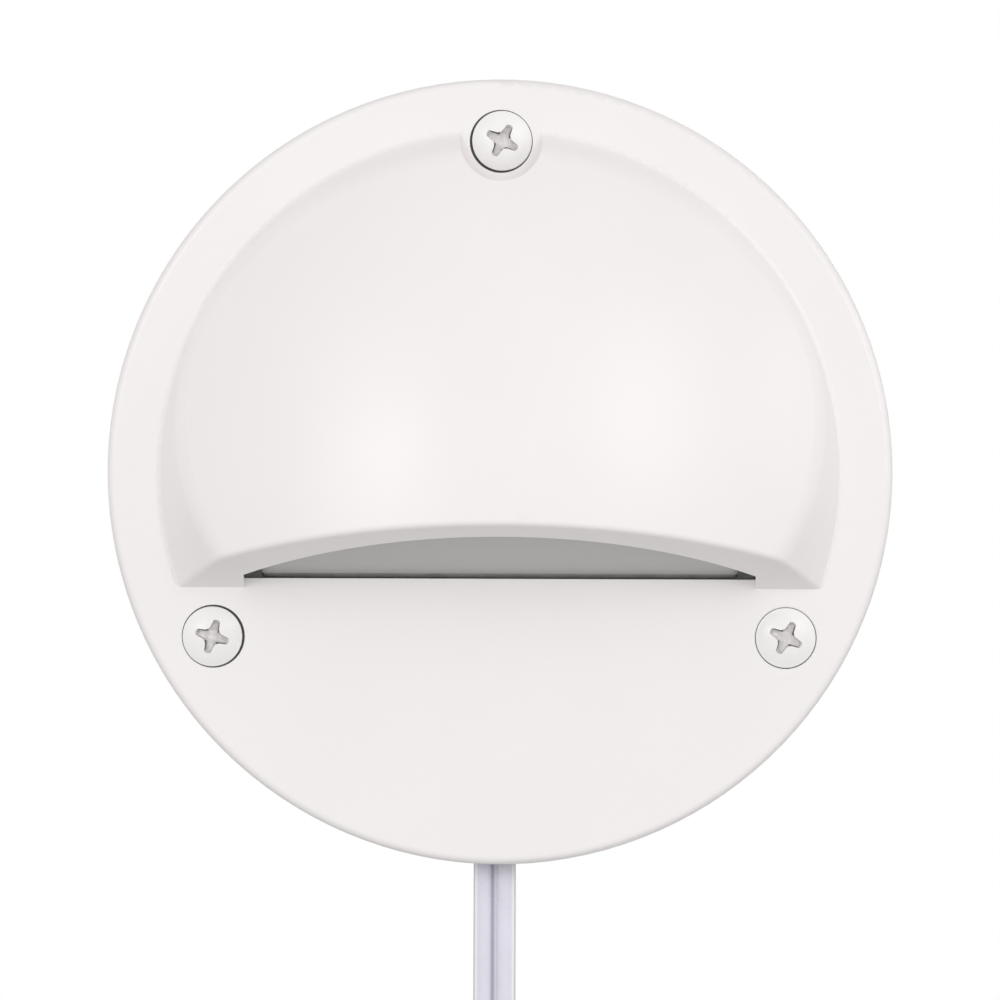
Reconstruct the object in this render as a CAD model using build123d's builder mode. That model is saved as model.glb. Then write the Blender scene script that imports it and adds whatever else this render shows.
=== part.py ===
from build123d import *
import math
import os

os.makedirs("parts", exist_ok=True)

# Surface-mounted deck light: a round cast cover with a hood over a downward mouth, a sealed LED tray
# behind it, three mounting screws and a flat two-core lead. Millimetres. +Z is up, the light looks
# along -Y, the wall is the plane y = 0 and the origin is the middle of the light on that plane.

# Cover: disc
disc_dia = 88.9
rim_depth = 9.0
rim_wall = 2.0
face_wall = 2.4
edge_radius = 0.9
ledge_width = 2.0

# Cover: hood
hood_margin = 5.85
hood_height = 15.6
hood_edge_height = 1.5
hood_crest_drop = 10.0
hood_side_height = 2.28
hood_flank_angle = 52.0
hood_blend = 6.0
hood_blend_share = 0.1
hood_foot_radius = 0.8
hood_wall = 3.0
mouth_drop = 13.16
mouth_tilt = 25.1
lip_radius = 0.7
sill_drop = 12.1
chamber_inset = 7.3
chamber_flat = 2.4
chamber_side_height = 3.1

# Mounting screws
screw_count = 3
screw_inset = 7.05
screw_head_dia = 6.82
screw_head_rise = 0.9
screw_head_gap = 0.2
screw_shank_dia = 2.9
screw_thread_dia = 3.5
screw_reach = 19.0
screw_tip = 4.5
screw_hole_dia = 3.8
screw_boss_dia = 9.6
screw_pocket_dia = 9.3
cross_span = 3.75
cross_width = 0.95
cross_depth = 1.5
cross_turn = 24.0

# Rear closure
back_plate_t = 2.5
back_seal_t = 0.8
wall_gasket_t = 1.0
wall_gasket_inset = 0.95
wall_gasket_width = 8.5
plate_screw_inset = 3.65
plate_screw_angles = (30.0, 150.0, 235.0, 305.0)
plate_screw_dia = 3.0
plate_screw_head_dia = 5.5
plate_screw_length = 5.6
plate_boss_dia = 6.4

# Lens
lens_inset = 1.6
lens_t = 2.0
lens_rear_edge = -0.3
gasket_wall = 0.8
gasket_lip = 1.2
gasket_lip_t = 0.6
gasket_sill = 0.6
lens_rib_length = 40.0
lens_rib_t = 2.4

# LED tray
bracket_t = 1.5
bracket_width = 32.0
bracket_top = 16.0
bracket_standoff = 1.0
bracket_screw_pitch = 22.0
bracket_screw_drop = 5.0
bracket_screw_dia = 3.0
bracket_boss_dia = 7.0
shelf_depth = 14.5
shelf_end = 12.6
led_board_width = 8.0
led_board_t = 1.0
thermal_pad_t = 0.3
led_count = 6
led_pitch = 4.2
led_size = (2.8, 3.5, 0.8)
board_screw_dia = 2.0
board_screw_inset = 2.0

# Driver board
driver_width = 27.0
driver_height = 11.0
driver_t = 1.0
driver_standoff = 1.0
driver_gap = 1.5
driver_post_dia = 4.0
rectifier_size = (4.9, 4.1, 1.6)
rectifier_pin = (0.7, 1.3, 0.3)
rectifier_pins = (2.5, 5.4)
inductor_size = (4.4, 4.4, 1.5)
inductor_core_dia = 3.2
inductor_core_depth = 0.3
regulator_size = (2.9, 1.6, 1.1)
regulator_pin = (0.4, 0.8, 0.2)
regulator_pins = (0.95, 2.2)
capacitor_size = (1.6, 3.2, 1.2)
capacitor_pitch = 5.2
capacitor_gap = 0.6
resistor_size = (2.0, 1.25, 0.6)
resistor_pitch = 3.2
link_dia = 1.2
link_clear = 2.4
link_rise = 8.0
link_bend = 2.0
link_board_pad = (4.5, 1.6)
link_led_pad = (3.2, 3.0)

# Lead
lead_width = 4.8
lead_thickness = 2.4
lead_web = 1.3
lead_x = -0.45
core_dia = 1.9
core_straight = 1.5
core_spread = 1.5
core_overlap = 2.0
grommet_wall = 1.8
grommet_flange = 1.2
clamp_t = 1.0
clamp_height = 5.0
clamp_ear = 6.5
clamp_gap = 0.65
clamp_screw_dia = 2.5
twist_top = -64.0
twist_length = 26.0
twist_steps = 6
coil_lead_in = 4.8
coil_bend_radius = 25.0
coil_bend_angle = 63.0
coil_radius = 33.0
coil_gap = 0.5
coil_half_turns = 9
coil_tail_radius = 12.0
coil_tail_angle = 110.0
coil_tail = 4.8
split_length = 8.0
split_spread = 0.5
tip_length = 5.5
tip_dia = 1.0
tie_angle = 150.0
tie_t = 1.0
tie_width = 3.0
tie_room = 0.3

# Fits
seat_clear = 0.2
soft_clear = 0.1
hole_clear = 0.15
metal_fit = 0.05
blind_wall = 0.8
screw_end_gap = 0.4

# Depths, from the wall outwards
rear_y = -wall_gasket_t
face_y = rear_y - rim_depth
recess_y = face_y + face_wall
plate_y = rear_y - back_plate_t
ledge_y = plate_y - back_seal_t
disc_r = disc_dia / 2
seat_r = disc_r - rim_wall
ledge_r = seat_r - ledge_width
hood_r = disc_r - hood_margin

# Sizes across, set in from the disc's edge
chamber_dia = 2 * (hood_r - chamber_inset)
chamber_width = chamber_dia - 2 * chamber_flat
screw_circle = disc_dia - 2 * screw_inset
plate_screw_circle = 2 * (ledge_r - plate_screw_inset)
wall_gasket_outer = 2 * (seat_r - wall_gasket_inset)
wall_gasket_inner = wall_gasket_outer - 2 * wall_gasket_width
clamp_low = -ledge_r + soft_clear + grommet_flange + clamp_gap
clamp_top = clamp_low + clamp_height
driver_top = -sill_drop - driver_gap
driver_low = driver_top - driver_height
board_screw_pitch = bracket_width - 2 * board_screw_inset

# The crown is an arc across the hood, swung about an axis behind it so that it starts low at the top
# of the outline and is highest at the crest, just above the mouth.
crest_y = face_y - hood_height
crown_rise = hood_height - hood_edge_height
crown_reach = hood_r + hood_crest_drop
crown_swing = (crown_reach**2 + crown_rise**2) / (2 * crown_rise)
crown_fall = hood_height - hood_side_height
hood_crown_radius = (hood_r**2 + crown_fall**2) / (2 * crown_fall)
shoulder_radius = min(hood_blend, hood_blend_share * hood_crown_radius)
chamber_fall = hood_height - hood_wall - chamber_side_height
chamber_crown_radius = ((chamber_width / 2) ** 2 + chamber_fall**2) / (2 * chamber_fall)

# The mouth leans out by mouth_tilt. On this plane local z runs into the hood and -y out along the lip.
tilt = math.radians(mouth_tilt)
mouth = Plane(
    origin=(0, face_y, -mouth_drop),
    x_dir=(1, 0, 0),
    z_dir=(0, math.sin(tilt), math.cos(tilt)),
)
mouth_reach = 2 * hood_height


def front(depth: float) -> Plane:
    """Plane at a depth, looking out of the light: local x is X and local y is Z."""
    return Plane(origin=(0, depth, 0), x_dir=(1, 0, 0), z_dir=(0, -1, 0))


def polar(radius: float, angle: float) -> tuple[float, float]:
    """Place on a circle about the light's axis, as X and Z."""
    return (
        radius * math.cos(math.radians(angle)),
        radius * math.sin(math.radians(angle)),
    )


def barrel(across: float, swing: float, crest: float, half: float) -> Part:
    """Crowned block: an arc across X, revolved about an axis along X that lies behind it."""
    axis_y = crest + swing
    edge_y = crest + across - math.sqrt(across**2 - half**2)
    with BuildPart() as block:
        with BuildSketch(Plane.XY.offset(-hood_crest_drop)):
            with BuildLine():
                ThreePointArc((-half, edge_y), (0, crest), (half, edge_y))
                Polyline((half, edge_y), (half, axis_y), (-half, axis_y), (-half, edge_y))
            make_face()
        revolve(axis=Axis((0, axis_y, -hood_crest_drop), (1, 0, 0)))
    return block.part


def chamber(margin: float, sill_margin: float) -> Part:
    """Room inside the hood, drawn in by a margin on its walls and by another above the sill."""
    room_r = chamber_dia / 2 - margin
    room_low = sill_margin - sill_drop
    crown = barrel(
        chamber_crown_radius - margin,
        crown_swing - hood_wall - margin,
        crest_y + hood_wall + margin,
        chamber_width / 2 + 1,
    )
    with BuildPart() as room:
        with BuildSketch(front(plate_y)):
            Circle(room_r)
            with Locations((0, (room_r + room_low) / 2)):
                Rectangle(chamber_width - 2 * margin, room_r - room_low, mode=Mode.INTERSECT)
            with Locations((0, screw_circle / 2)):
                Circle(screw_pocket_dia / 2 + hood_wall + margin, mode=Mode.SUBTRACT)
        extrude(amount=plate_y - crest_y)
        add(crown, mode=Mode.INTERSECT)
    return room.part


def lens_slab(depth: float, thickness: float, rear: float) -> Part:
    """Flat block parallel to the mouth, from a rear edge out past the lip."""
    with BuildPart() as slab:
        with BuildSketch(mouth.offset(depth)):
            with Locations((0, -(mouth_reach + rear) / 2)):
                Rectangle(disc_dia, mouth_reach - rear)
        extrude(amount=thickness)
    return slab.part


def pan_screw(seat: Plane, dia: float, length: float) -> Part:
    """Pan-head screw whose head stands on a seat plane and whose shank goes behind it."""
    with BuildPart() as screw:
        with BuildSketch(seat):
            Circle(dia)
        extrude(amount=0.6 * dia)
        rim = screw.edges().filter_by(GeomType.CIRCLE).sort_by(Axis(seat.origin, seat.z_dir))[-1]
        fillet(rim, 0.25 * dia)
        with BuildSketch(seat):
            Circle(dia / 2)
        extrude(amount=-length)
    return screw.part


# Cover
crown_block = barrel(hood_crown_radius, crown_swing, crest_y, hood_r + 2)
room = chamber(0, 0)

with BuildPart() as hood:
    with BuildSketch(front(face_y)):
        Circle(hood_r)
    extrude(amount=hood_height + 1, taper=90 - hood_flank_angle)
    add(crown_block, mode=Mode.INTERSECT)
    shoulder = hood.edges().filter_by(GeomType.CIRCLE, reverse=True)
    fillet(shoulder.filter_by(GeomType.LINE, reverse=True), shoulder_radius)

with BuildPart() as recess:
    with BuildSketch(front(rear_y)):
        Circle(seat_r)
    extrude(amount=rear_y - ledge_y)
    with BuildSketch(front(ledge_y)):
        Circle(ledge_r)
    extrude(amount=ledge_y - recess_y)
    with BuildSketch(front(plate_y)):
        with PolarLocations(screw_circle / 2, screw_count, start_angle=90):
            Circle(screw_boss_dia / 2)
        for angle in plate_screw_angles:
            with Locations(polar(plate_screw_circle / 2, angle)):
                Circle(plate_boss_dia / 2)
        Circle(ledge_r, mode=Mode.INTERSECT)
    extrude(amount=plate_y - recess_y, mode=Mode.SUBTRACT)

screw_places = [polar(screw_circle / 2, 90 + i * 360 / screw_count) for i in range(screw_count)]
lead_y = plate_y - lead_thickness / 2
notch_width = lead_width + 2 * grommet_wall
notch_y = lead_y - lead_thickness / 2 - grommet_wall

with BuildPart() as cover:
    with BuildSketch(front(rear_y)):
        Circle(disc_r)
    extrude(amount=rim_depth)
    fillet(cover.edges().filter_by(GeomType.CIRCLE).sort_by(Axis.Y)[0], edge_radius)
    add(hood.part)
    foot = cover.edges().filter_by(GeomType.CIRCLE).filter_by_position(
        Axis.Y, face_y - 0.01, face_y + 0.01
    )
    fillet(foot.filter_by(lambda e: abs(e.radius - hood_r) < 0.01), hood_foot_radius)
    with BuildSketch(Plane.YZ):
        with BuildLine():
            Polyline(
                (face_y, -mouth_drop),
                (
                    face_y - mouth_reach * math.cos(tilt),
                    mouth_reach * math.sin(tilt) - mouth_drop,
                ),
                (face_y - mouth_reach * math.cos(tilt), -disc_r),
                (face_y, -disc_r),
                close=True,
            )
        make_face()
    extrude(amount=disc_r, both=True, mode=Mode.SUBTRACT)
    lip = cover.faces().filter_by(lambda f: f.normal_at().dot(-mouth.z_dir) > 0.9999)
    fillet(lip.edges().filter_by(GeomType.LINE, reverse=True), lip_radius)
    with BuildSketch(front(face_y)):
        with Locations((0, screw_circle / 2)):
            Circle(screw_pocket_dia / 2)
    extrude(amount=hood_height, mode=Mode.SUBTRACT)
    add(room, mode=Mode.SUBTRACT)
    with BuildSketch(front(face_y)):
        with Locations((0, -(mouth_drop + sill_drop) / 2)):
            Rectangle(chamber_width, mouth_drop - sill_drop)
    extrude(amount=hood_height, mode=Mode.SUBTRACT)
    add(recess.part, mode=Mode.SUBTRACT)
    for x, z in screw_places:
        with Locations(Plane(origin=(x, face_y, z), x_dir=(1, 0, 0), z_dir=(0, -1, 0))):
            CounterSinkHole(
                screw_hole_dia / 2, screw_head_dia / 2 + screw_head_gap, counter_sink_angle=90
            )
    with BuildSketch(front(plate_y)):
        for angle in plate_screw_angles:
            with Locations(polar(plate_screw_circle / 2, angle)):
                Circle(plate_screw_dia / 2 + metal_fit)
    extrude(amount=plate_screw_length - back_plate_t + screw_end_gap, mode=Mode.SUBTRACT)
    with BuildSketch(front(rear_y)):
        with Locations((lead_x, -disc_r)):
            Rectangle(notch_width, 2 * (disc_r - ledge_r + 1))
    extrude(amount=rear_y - notch_y, mode=Mode.SUBTRACT)
cover.part.label = "cover"
export_step(cover.part, "parts/cover.step")

# Mounting screws, each on the light's screw circle
head_r = screw_head_dia / 2
head_y = face_y + screw_head_gap - metal_fit
cone_y = head_y + head_r - screw_shank_dia / 2
dome_y = head_y - screw_head_rise
with BuildPart() as mounting_screws:
    for x, z in screw_places:
        with BuildSketch(Plane.XY.offset(z)):
            with BuildLine():
                crown_r = (head_r**2 + screw_head_rise**2) / (2 * screw_head_rise)
                RadiusArc((x, dome_y), (x + head_r, head_y), crown_r)
                Polyline(
                    (x + head_r, head_y),
                    (x + screw_shank_dia / 2, cone_y),
                    (x + screw_shank_dia / 2, 0),
                    (x + screw_thread_dia / 2, 0),
                    (x + screw_thread_dia / 2, screw_reach - screw_tip),
                    (x, screw_reach),
                    (x, dome_y),
                )
            make_face()
        revolve(axis=Axis((x, 0, z), (0, 1, 0)))
        with BuildSketch(front(dome_y)):
            with Locations((x, z)):
                Rectangle(cross_span, cross_width, rotation=-cross_turn)
                Rectangle(cross_width, cross_span, rotation=-cross_turn)
        extrude(amount=-cross_depth, taper=8, mode=Mode.SUBTRACT)
mounting_screws.part.label = "mounting_screws"
export_step(mounting_screws.part, "parts/mounting_screws.step")

# Lens and its channel gasket
lens_room = chamber(gasket_wall, gasket_sill)
lens_block = lens_slab(lens_inset, lens_t, lens_rear_edge)
gasket_room = chamber(soft_clear, soft_clear)
gasket_block = lens_slab(
    lens_inset - gasket_lip_t, lens_t + 2 * gasket_lip_t, lens_rear_edge - gasket_wall
)
window_room = chamber(gasket_wall + gasket_lip, gasket_sill)
window_block = lens_slab(
    lens_inset - gasket_lip_t, lens_t + 2 * gasket_lip_t, lens_rear_edge
)

with BuildPart() as window:
    add(window_room)
    add(window_block, mode=Mode.INTERSECT)

# On the sill the gasket has no lip in front of the lens
sill_room = chamber(gasket_wall + gasket_lip, 0)
sill_block = lens_slab(lens_inset - gasket_lip_t, gasket_lip_t, lens_rear_edge - gasket_wall)
with BuildPart() as sill_window:
    add(sill_room)
    add(sill_block, mode=Mode.INTERSECT)

with BuildPart() as lens:
    add(lens_room)
    add(lens_block, mode=Mode.INTERSECT)
lens.part.label = "lens"
export_step(lens.part, "parts/lens.step")

with BuildPart() as lens_gasket:
    add(gasket_room)
    add(gasket_block, mode=Mode.INTERSECT)
    add(window.part, mode=Mode.SUBTRACT)
    add(sill_window.part, mode=Mode.SUBTRACT)
    add(lens.part, mode=Mode.SUBTRACT)
lens_gasket.part.label = "lens_gasket"
export_step(lens_gasket.part, "parts/lens_gasket.step")

# Back plate, with the bosses and the rib that it carries on its inner side
plate_r = seat_r - seat_clear
rib_low = sill_drop - seat_clear
driver_mid = driver_top - driver_height / 2
driver_post_x = driver_width / 2 - driver_post_dia / 2
bracket_screw_z = bracket_top - bracket_screw_drop
rib_end = Plane(
    origin=mouth.from_local_coords((0, gasket_wall - lens_rear_edge + metal_fit, 0)),
    x_dir=(1, 0, 0),
    z_dir=mouth.y_dir,
)
rib_mid = -rib_low + lens_rib_t / 2

with BuildPart() as lens_rib:
    with BuildSketch(front(plate_y)):
        with Locations((0, rib_mid)):
            Rectangle(lens_rib_length, lens_rib_t)
    extrude(amount=plate_y - face_y)
    split(bisect_by=rib_end, keep=Keep.TOP)

with BuildPart() as back_plate:
    with BuildSketch(front(rear_y)):
        Circle(plate_r)
    extrude(amount=back_plate_t)
    add(lens_rib.part)
    with BuildSketch(front(plate_y)):
        for side in (-1, 1):
            with Locations((side * bracket_screw_pitch / 2, bracket_screw_z)):
                Circle(bracket_boss_dia / 2)
    extrude(amount=bracket_standoff)
    with BuildSketch(front(plate_y)):
        for side in (-1, 1):
            with Locations((side * driver_post_x, driver_mid)):
                Circle(driver_post_dia / 2)
    extrude(amount=driver_standoff)
    with BuildSketch(front(rear_y)):
        with PolarLocations(screw_circle / 2, screw_count, start_angle=90):
            Circle(screw_hole_dia / 2)
    extrude(amount=back_plate_t, mode=Mode.SUBTRACT)
    for angle in plate_screw_angles:
        x, z = polar(plate_screw_circle / 2, angle)
        with Locations(Plane(origin=(x, rear_y, z), x_dir=(1, 0, 0), z_dir=(0, 1, 0))):
            CounterSinkHole(
                plate_screw_dia / 2 + hole_clear,
                plate_screw_head_dia / 2 + hole_clear,
                depth=back_plate_t + 0.5,
                counter_sink_angle=90,
            )
    with BuildSketch(front(plate_y - bracket_standoff)):
        for side in (-1, 1):
            with Locations((side * bracket_screw_pitch / 2, bracket_screw_z)):
                Circle(bracket_screw_dia / 2 + metal_fit)
    extrude(amount=-(bracket_standoff + back_plate_t - blind_wall), mode=Mode.SUBTRACT)
    with BuildSketch(front(plate_y)):
        for side in (-1, 1):
            with Locations((lead_x + side * clamp_ear, clamp_top - clamp_height / 2)):
                Circle(clamp_screw_dia / 2 + metal_fit)
    extrude(amount=-(back_plate_t - blind_wall), mode=Mode.SUBTRACT)
back_plate.part.label = "back_plate"
export_step(back_plate.part, "parts/back_plate.step")

with BuildPart() as back_plate_screws:
    for angle in plate_screw_angles:
        x, z = polar(plate_screw_circle / 2, angle)
        screw_r = plate_screw_dia / 2
        sink_r = plate_screw_head_dia / 2
        with BuildSketch(Plane.XY.offset(z)):
            with BuildLine():
                Polyline(
                    (x, rear_y - hole_clear),
                    (x + sink_r, rear_y - hole_clear),
                    (x + screw_r, rear_y - hole_clear - sink_r + screw_r),
                    (x + screw_r, rear_y - plate_screw_length),
                    (x, rear_y - plate_screw_length),
                    close=True,
                )
            make_face()
        revolve(axis=Axis((x, 0, z), (0, 1, 0)))
back_plate_screws.part.label = "back_plate_screws"
export_step(back_plate_screws.part, "parts/back_plate_screws.step")

with BuildPart() as back_seal:
    with BuildSketch(front(plate_y)):
        Circle(seat_r - seat_clear)
        Circle(ledge_r + soft_clear, mode=Mode.SUBTRACT)
        with Locations((lead_x, -disc_r)):
            Rectangle(notch_width, disc_dia / 2, mode=Mode.SUBTRACT)
    extrude(amount=back_seal_t)
back_seal.part.label = "back_seal"
export_step(back_seal.part, "parts/back_seal.step")

with BuildPart() as wall_gasket:
    with BuildSketch(front(0)):
        Circle(wall_gasket_outer / 2)
        Circle(wall_gasket_inner / 2, mode=Mode.SUBTRACT)
        with PolarLocations(screw_circle / 2, screw_count, start_angle=90):
            Circle(screw_hole_dia / 2 + hole_clear, mode=Mode.SUBTRACT)
    extrude(amount=wall_gasket_t)
wall_gasket.part.label = "wall_gasket"
export_step(wall_gasket.part, "parts/wall_gasket.step")

# LED bracket: a foot on the back plate's bosses and a shelf parallel to the lens
foot_rear_y = plate_y - bracket_standoff
foot_front_y = foot_rear_y - bracket_t


def on_shelf(depth: float, y: float) -> tuple[float, float]:
    """Point (Y, Z) where a line parallel to the mouth, at a depth inside it, crosses a given y."""
    run = (face_y + depth * math.sin(tilt) - y) / math.cos(tilt)
    return (y, run * math.sin(tilt) + depth * math.cos(tilt) - mouth_drop)


def along_shelf(depth: float, run: float) -> tuple[float, float]:
    """Point (Y, Z) at a depth inside the mouth and a run out along it."""
    point = mouth.from_local_coords((0, -run, depth))
    return (point.Y, point.Z)


shelf_top = shelf_depth + bracket_t
with BuildPart() as led_bracket:
    with BuildSketch(Plane.YZ):
        with BuildLine():
            Polyline(
                on_shelf(shelf_depth, foot_rear_y),
                along_shelf(shelf_depth, shelf_end),
                along_shelf(shelf_top, shelf_end),
                on_shelf(shelf_top, foot_front_y),
                (foot_front_y, bracket_top),
                (foot_rear_y, bracket_top),
                close=True,
            )
        make_face()
    extrude(amount=bracket_width / 2, both=True)
    bends = led_bracket.edges().filter_by(Axis.X).sort_by(Axis.Z)
    fillet(bends[0], bracket_t)
    with BuildSketch(front(foot_rear_y)):
        for side in (-1, 1):
            with Locations((side * bracket_screw_pitch / 2, bracket_screw_z)):
                Circle(bracket_screw_dia / 2 + hole_clear)
    extrude(amount=bracket_t, mode=Mode.SUBTRACT)
    board_run = shelf_end - led_board_width / 2 - 0.3
    with BuildSketch(mouth.offset(shelf_depth)):
        for side in (-1, 1):
            with Locations((side * board_screw_pitch / 2, -board_run)):
                Circle(board_screw_dia / 2 + metal_fit)
    extrude(amount=bracket_t, mode=Mode.SUBTRACT)
led_bracket.part.label = "led_bracket"
export_step(led_bracket.part, "parts/led_bracket.step")

bracket_screw_length = bracket_t + bracket_standoff + back_plate_t - blind_wall - screw_end_gap
bracket_heads = [
    pan_screw(
        Plane(
            origin=(side * bracket_screw_pitch / 2, foot_front_y, bracket_screw_z),
            x_dir=(1, 0, 0),
            z_dir=(0, -1, 0),
        ),
        bracket_screw_dia,
        bracket_screw_length,
    )
    for side in (-1, 1)
]
with BuildPart() as bracket_screws:
    add(bracket_heads)
bracket_screws.part.label = "bracket_screws"
export_step(bracket_screws.part, "parts/bracket_screws.step")


def shelf_plane(x: float, drop: float) -> Plane:
    """Plane under the shelf that looks down at the lens, at a drop below the shelf's face."""
    return Plane(
        origin=mouth.from_local_coords((x, -board_run, shelf_depth - drop)),
        x_dir=(1, 0, 0),
        z_dir=-mouth.z_dir,
    )


with BuildPart() as thermal_pad:
    with BuildSketch(shelf_plane(0, 0)):
        Rectangle(bracket_width, led_board_width)
        for side in (-1, 1):
            with Locations((side * board_screw_pitch / 2, 0)):
                Circle(board_screw_dia / 2 + hole_clear, mode=Mode.SUBTRACT)
    extrude(amount=thermal_pad_t)
thermal_pad.part.label = "thermal_pad"
export_step(thermal_pad.part, "parts/thermal_pad.step")

with BuildPart() as led_board:
    with BuildSketch(shelf_plane(0, thermal_pad_t)):
        Rectangle(bracket_width, led_board_width)
        for side in (-1, 1):
            with Locations((side * board_screw_pitch / 2, 0)):
                Circle(board_screw_dia / 2 + hole_clear, mode=Mode.SUBTRACT)
    extrude(amount=led_board_t)
led_board.part.label = "led_board"
export_step(led_board.part, "parts/led_board.step")

board_drop = thermal_pad_t + led_board_t
with BuildPart() as led_emitters:
    with BuildSketch(shelf_plane(0, board_drop)):
        with GridLocations(led_pitch, 0, led_count, 1):
            Rectangle(led_size[0], led_size[1])
    extrude(amount=led_size[2])
    with BuildSketch(shelf_plane(0, board_drop + led_size[2])):
        with GridLocations(led_pitch, 0, led_count, 1):
            Circle(0.4 * led_size[0])
    extrude(amount=-0.3 * led_size[2], taper=20, mode=Mode.SUBTRACT)
led_emitters.part.label = "led_emitters"
export_step(led_emitters.part, "parts/led_emitters.step")

board_heads = [
    pan_screw(
        shelf_plane(side * board_screw_pitch / 2, board_drop),
        board_screw_dia,
        board_drop + bracket_t,
    )
    for side in (-1, 1)
]
with BuildPart() as led_board_screws:
    add(board_heads)
led_board_screws.part.label = "led_board_screws"
export_step(led_board_screws.part, "parts/led_board_screws.step")

# Driver board and what stands on it
board_y = plate_y - driver_standoff
parts_y = board_y - driver_t
with BuildPart() as driver_board:
    with BuildSketch(front(board_y)):
        with Locations((0, driver_mid)):
            RectangleRounded(driver_width, driver_height, 1)
    extrude(amount=driver_t)
driver_board.part.label = "driver_board"
export_step(driver_board.part, "parts/driver_board.step")

with BuildPart() as bridge_rectifier:
    with BuildSketch(front(parts_y)):
        with Locations((-driver_width / 4, driver_mid - 0.5)):
            Rectangle(rectifier_size[0], rectifier_size[1])
    extrude(amount=rectifier_size[2])
    fillet(bridge_rectifier.edges().filter_by(Axis.Y), 0.3)
    with BuildSketch(front(parts_y)):
        with Locations((-driver_width / 4, driver_mid - 0.5)):
            with GridLocations(rectifier_pins[0], rectifier_pins[1], 2, 2):
                Rectangle(rectifier_pin[0], rectifier_pin[1])
    extrude(amount=rectifier_pin[2])
bridge_rectifier.part.label = "bridge_rectifier"
export_step(bridge_rectifier.part, "parts/bridge_rectifier.step")

with BuildPart() as power_inductor:
    with BuildSketch(front(parts_y)):
        with Locations((driver_width / 4, driver_mid - 0.5)):
            RectangleRounded(inductor_size[0], inductor_size[1], 0.8)
    extrude(amount=inductor_size[2])
    with BuildSketch(front(parts_y - inductor_size[2])):
        with Locations((driver_width / 4, driver_mid - 0.5)):
            Circle(inductor_core_dia / 2)
    extrude(amount=-inductor_core_depth, mode=Mode.SUBTRACT)
power_inductor.part.label = "power_inductor"
export_step(power_inductor.part, "parts/power_inductor.step")

with BuildPart() as regulator_chip:
    with BuildSketch(front(parts_y)):
        with Locations((0, driver_mid + 1)):
            Rectangle(regulator_size[0], regulator_size[1])
    extrude(amount=regulator_size[2])
    with BuildSketch(front(parts_y)):
        with Locations((0, driver_mid + 1)):
            with GridLocations(regulator_pins[0], regulator_pins[1], 3, 2):
                Rectangle(regulator_pin[0], regulator_pin[1])
    extrude(amount=regulator_pin[2])
regulator_chip.part.label = "regulator_chip"
export_step(regulator_chip.part, "parts/regulator_chip.step")

with BuildPart() as board_capacitors:
    with BuildSketch(front(parts_y)):
        with Locations((0, driver_low + core_overlap + capacitor_gap + capacitor_size[1] / 2)):
            with GridLocations(capacitor_pitch, 0, 2, 1):
                Rectangle(capacitor_size[0], capacitor_size[1])
    extrude(amount=capacitor_size[2])
board_capacitors.part.label = "board_capacitors"
export_step(board_capacitors.part, "parts/board_capacitors.step")

with BuildPart() as board_resistors:
    with BuildSketch(front(parts_y)):
        with Locations((0, driver_top - 1.8)):
            with GridLocations(resistor_pitch, 0, 3, 1):
                Rectangle(resistor_size[0], resistor_size[1])
    extrude(amount=resistor_size[2])
board_resistors.part.label = "board_resistors"
export_step(board_resistors.part, "parts/board_resistors.step")

# Lead: the flat section, its hanging run, quarter twist, coil and split ends
lobe_r = lead_thickness / 2
lobe_x = lead_width / 2 - lobe_r
web_angle = math.asin(lead_web / 2 / lobe_r)


def lobe_point(side: int, angle: float, grow: float = 0.0) -> tuple[float, float]:
    """Point on a lobe of the lead's section, at an angle from the section's far end."""
    return (
        side * (lobe_x + (lobe_r + grow) * math.cos(angle)),
        (lobe_r + grow) * math.sin(angle),
    )


def lead_section(plane: Plane, grow: float = 0.0) -> Sketch:
    """Flat two-core section: two round lobes and the web between them, wide along local x."""
    joint = math.pi - web_angle
    with BuildSketch(plane) as section:
        with BuildLine():
            for side in (1, -1):
                for top in (1, -1):
                    ThreePointArc(
                        lobe_point(side, 0, grow),
                        lobe_point(side, top * joint / 2, grow),
                        lobe_point(side, top * joint, grow),
                    )
            for top in (1, -1):
                Line(lobe_point(1, top * joint, grow), lobe_point(-1, top * joint, grow))
        make_face()
    return section.sketch


def hanging(z: float, turn: float = 0.0) -> Plane:
    """Plane across the hanging lead that looks down, with the wide side turned from X towards Y."""
    wide = (math.cos(math.radians(turn)), math.sin(math.radians(turn)), 0)
    return Plane(origin=(lead_x, lead_y, z), x_dir=wide, z_dir=(0, 0, -1))


drop_section = lead_section(hanging(clamp_top))
with BuildPart() as lead_drop:
    extrude(drop_section, amount=clamp_top - twist_top)
lead_drop.part.label = "lead_drop"
export_step(lead_drop.part, "parts/lead_drop.step")

twist_sections = [
    lead_section(hanging(twist_top - i * twist_length / twist_steps, i * 90 / twist_steps))
    for i in range(twist_steps + 1)
]
with BuildPart() as lead_twist:
    loft(twist_sections)
lead_twist.part.label = "lead_twist"
export_step(lead_twist.part, "parts/lead_twist.step")

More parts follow.
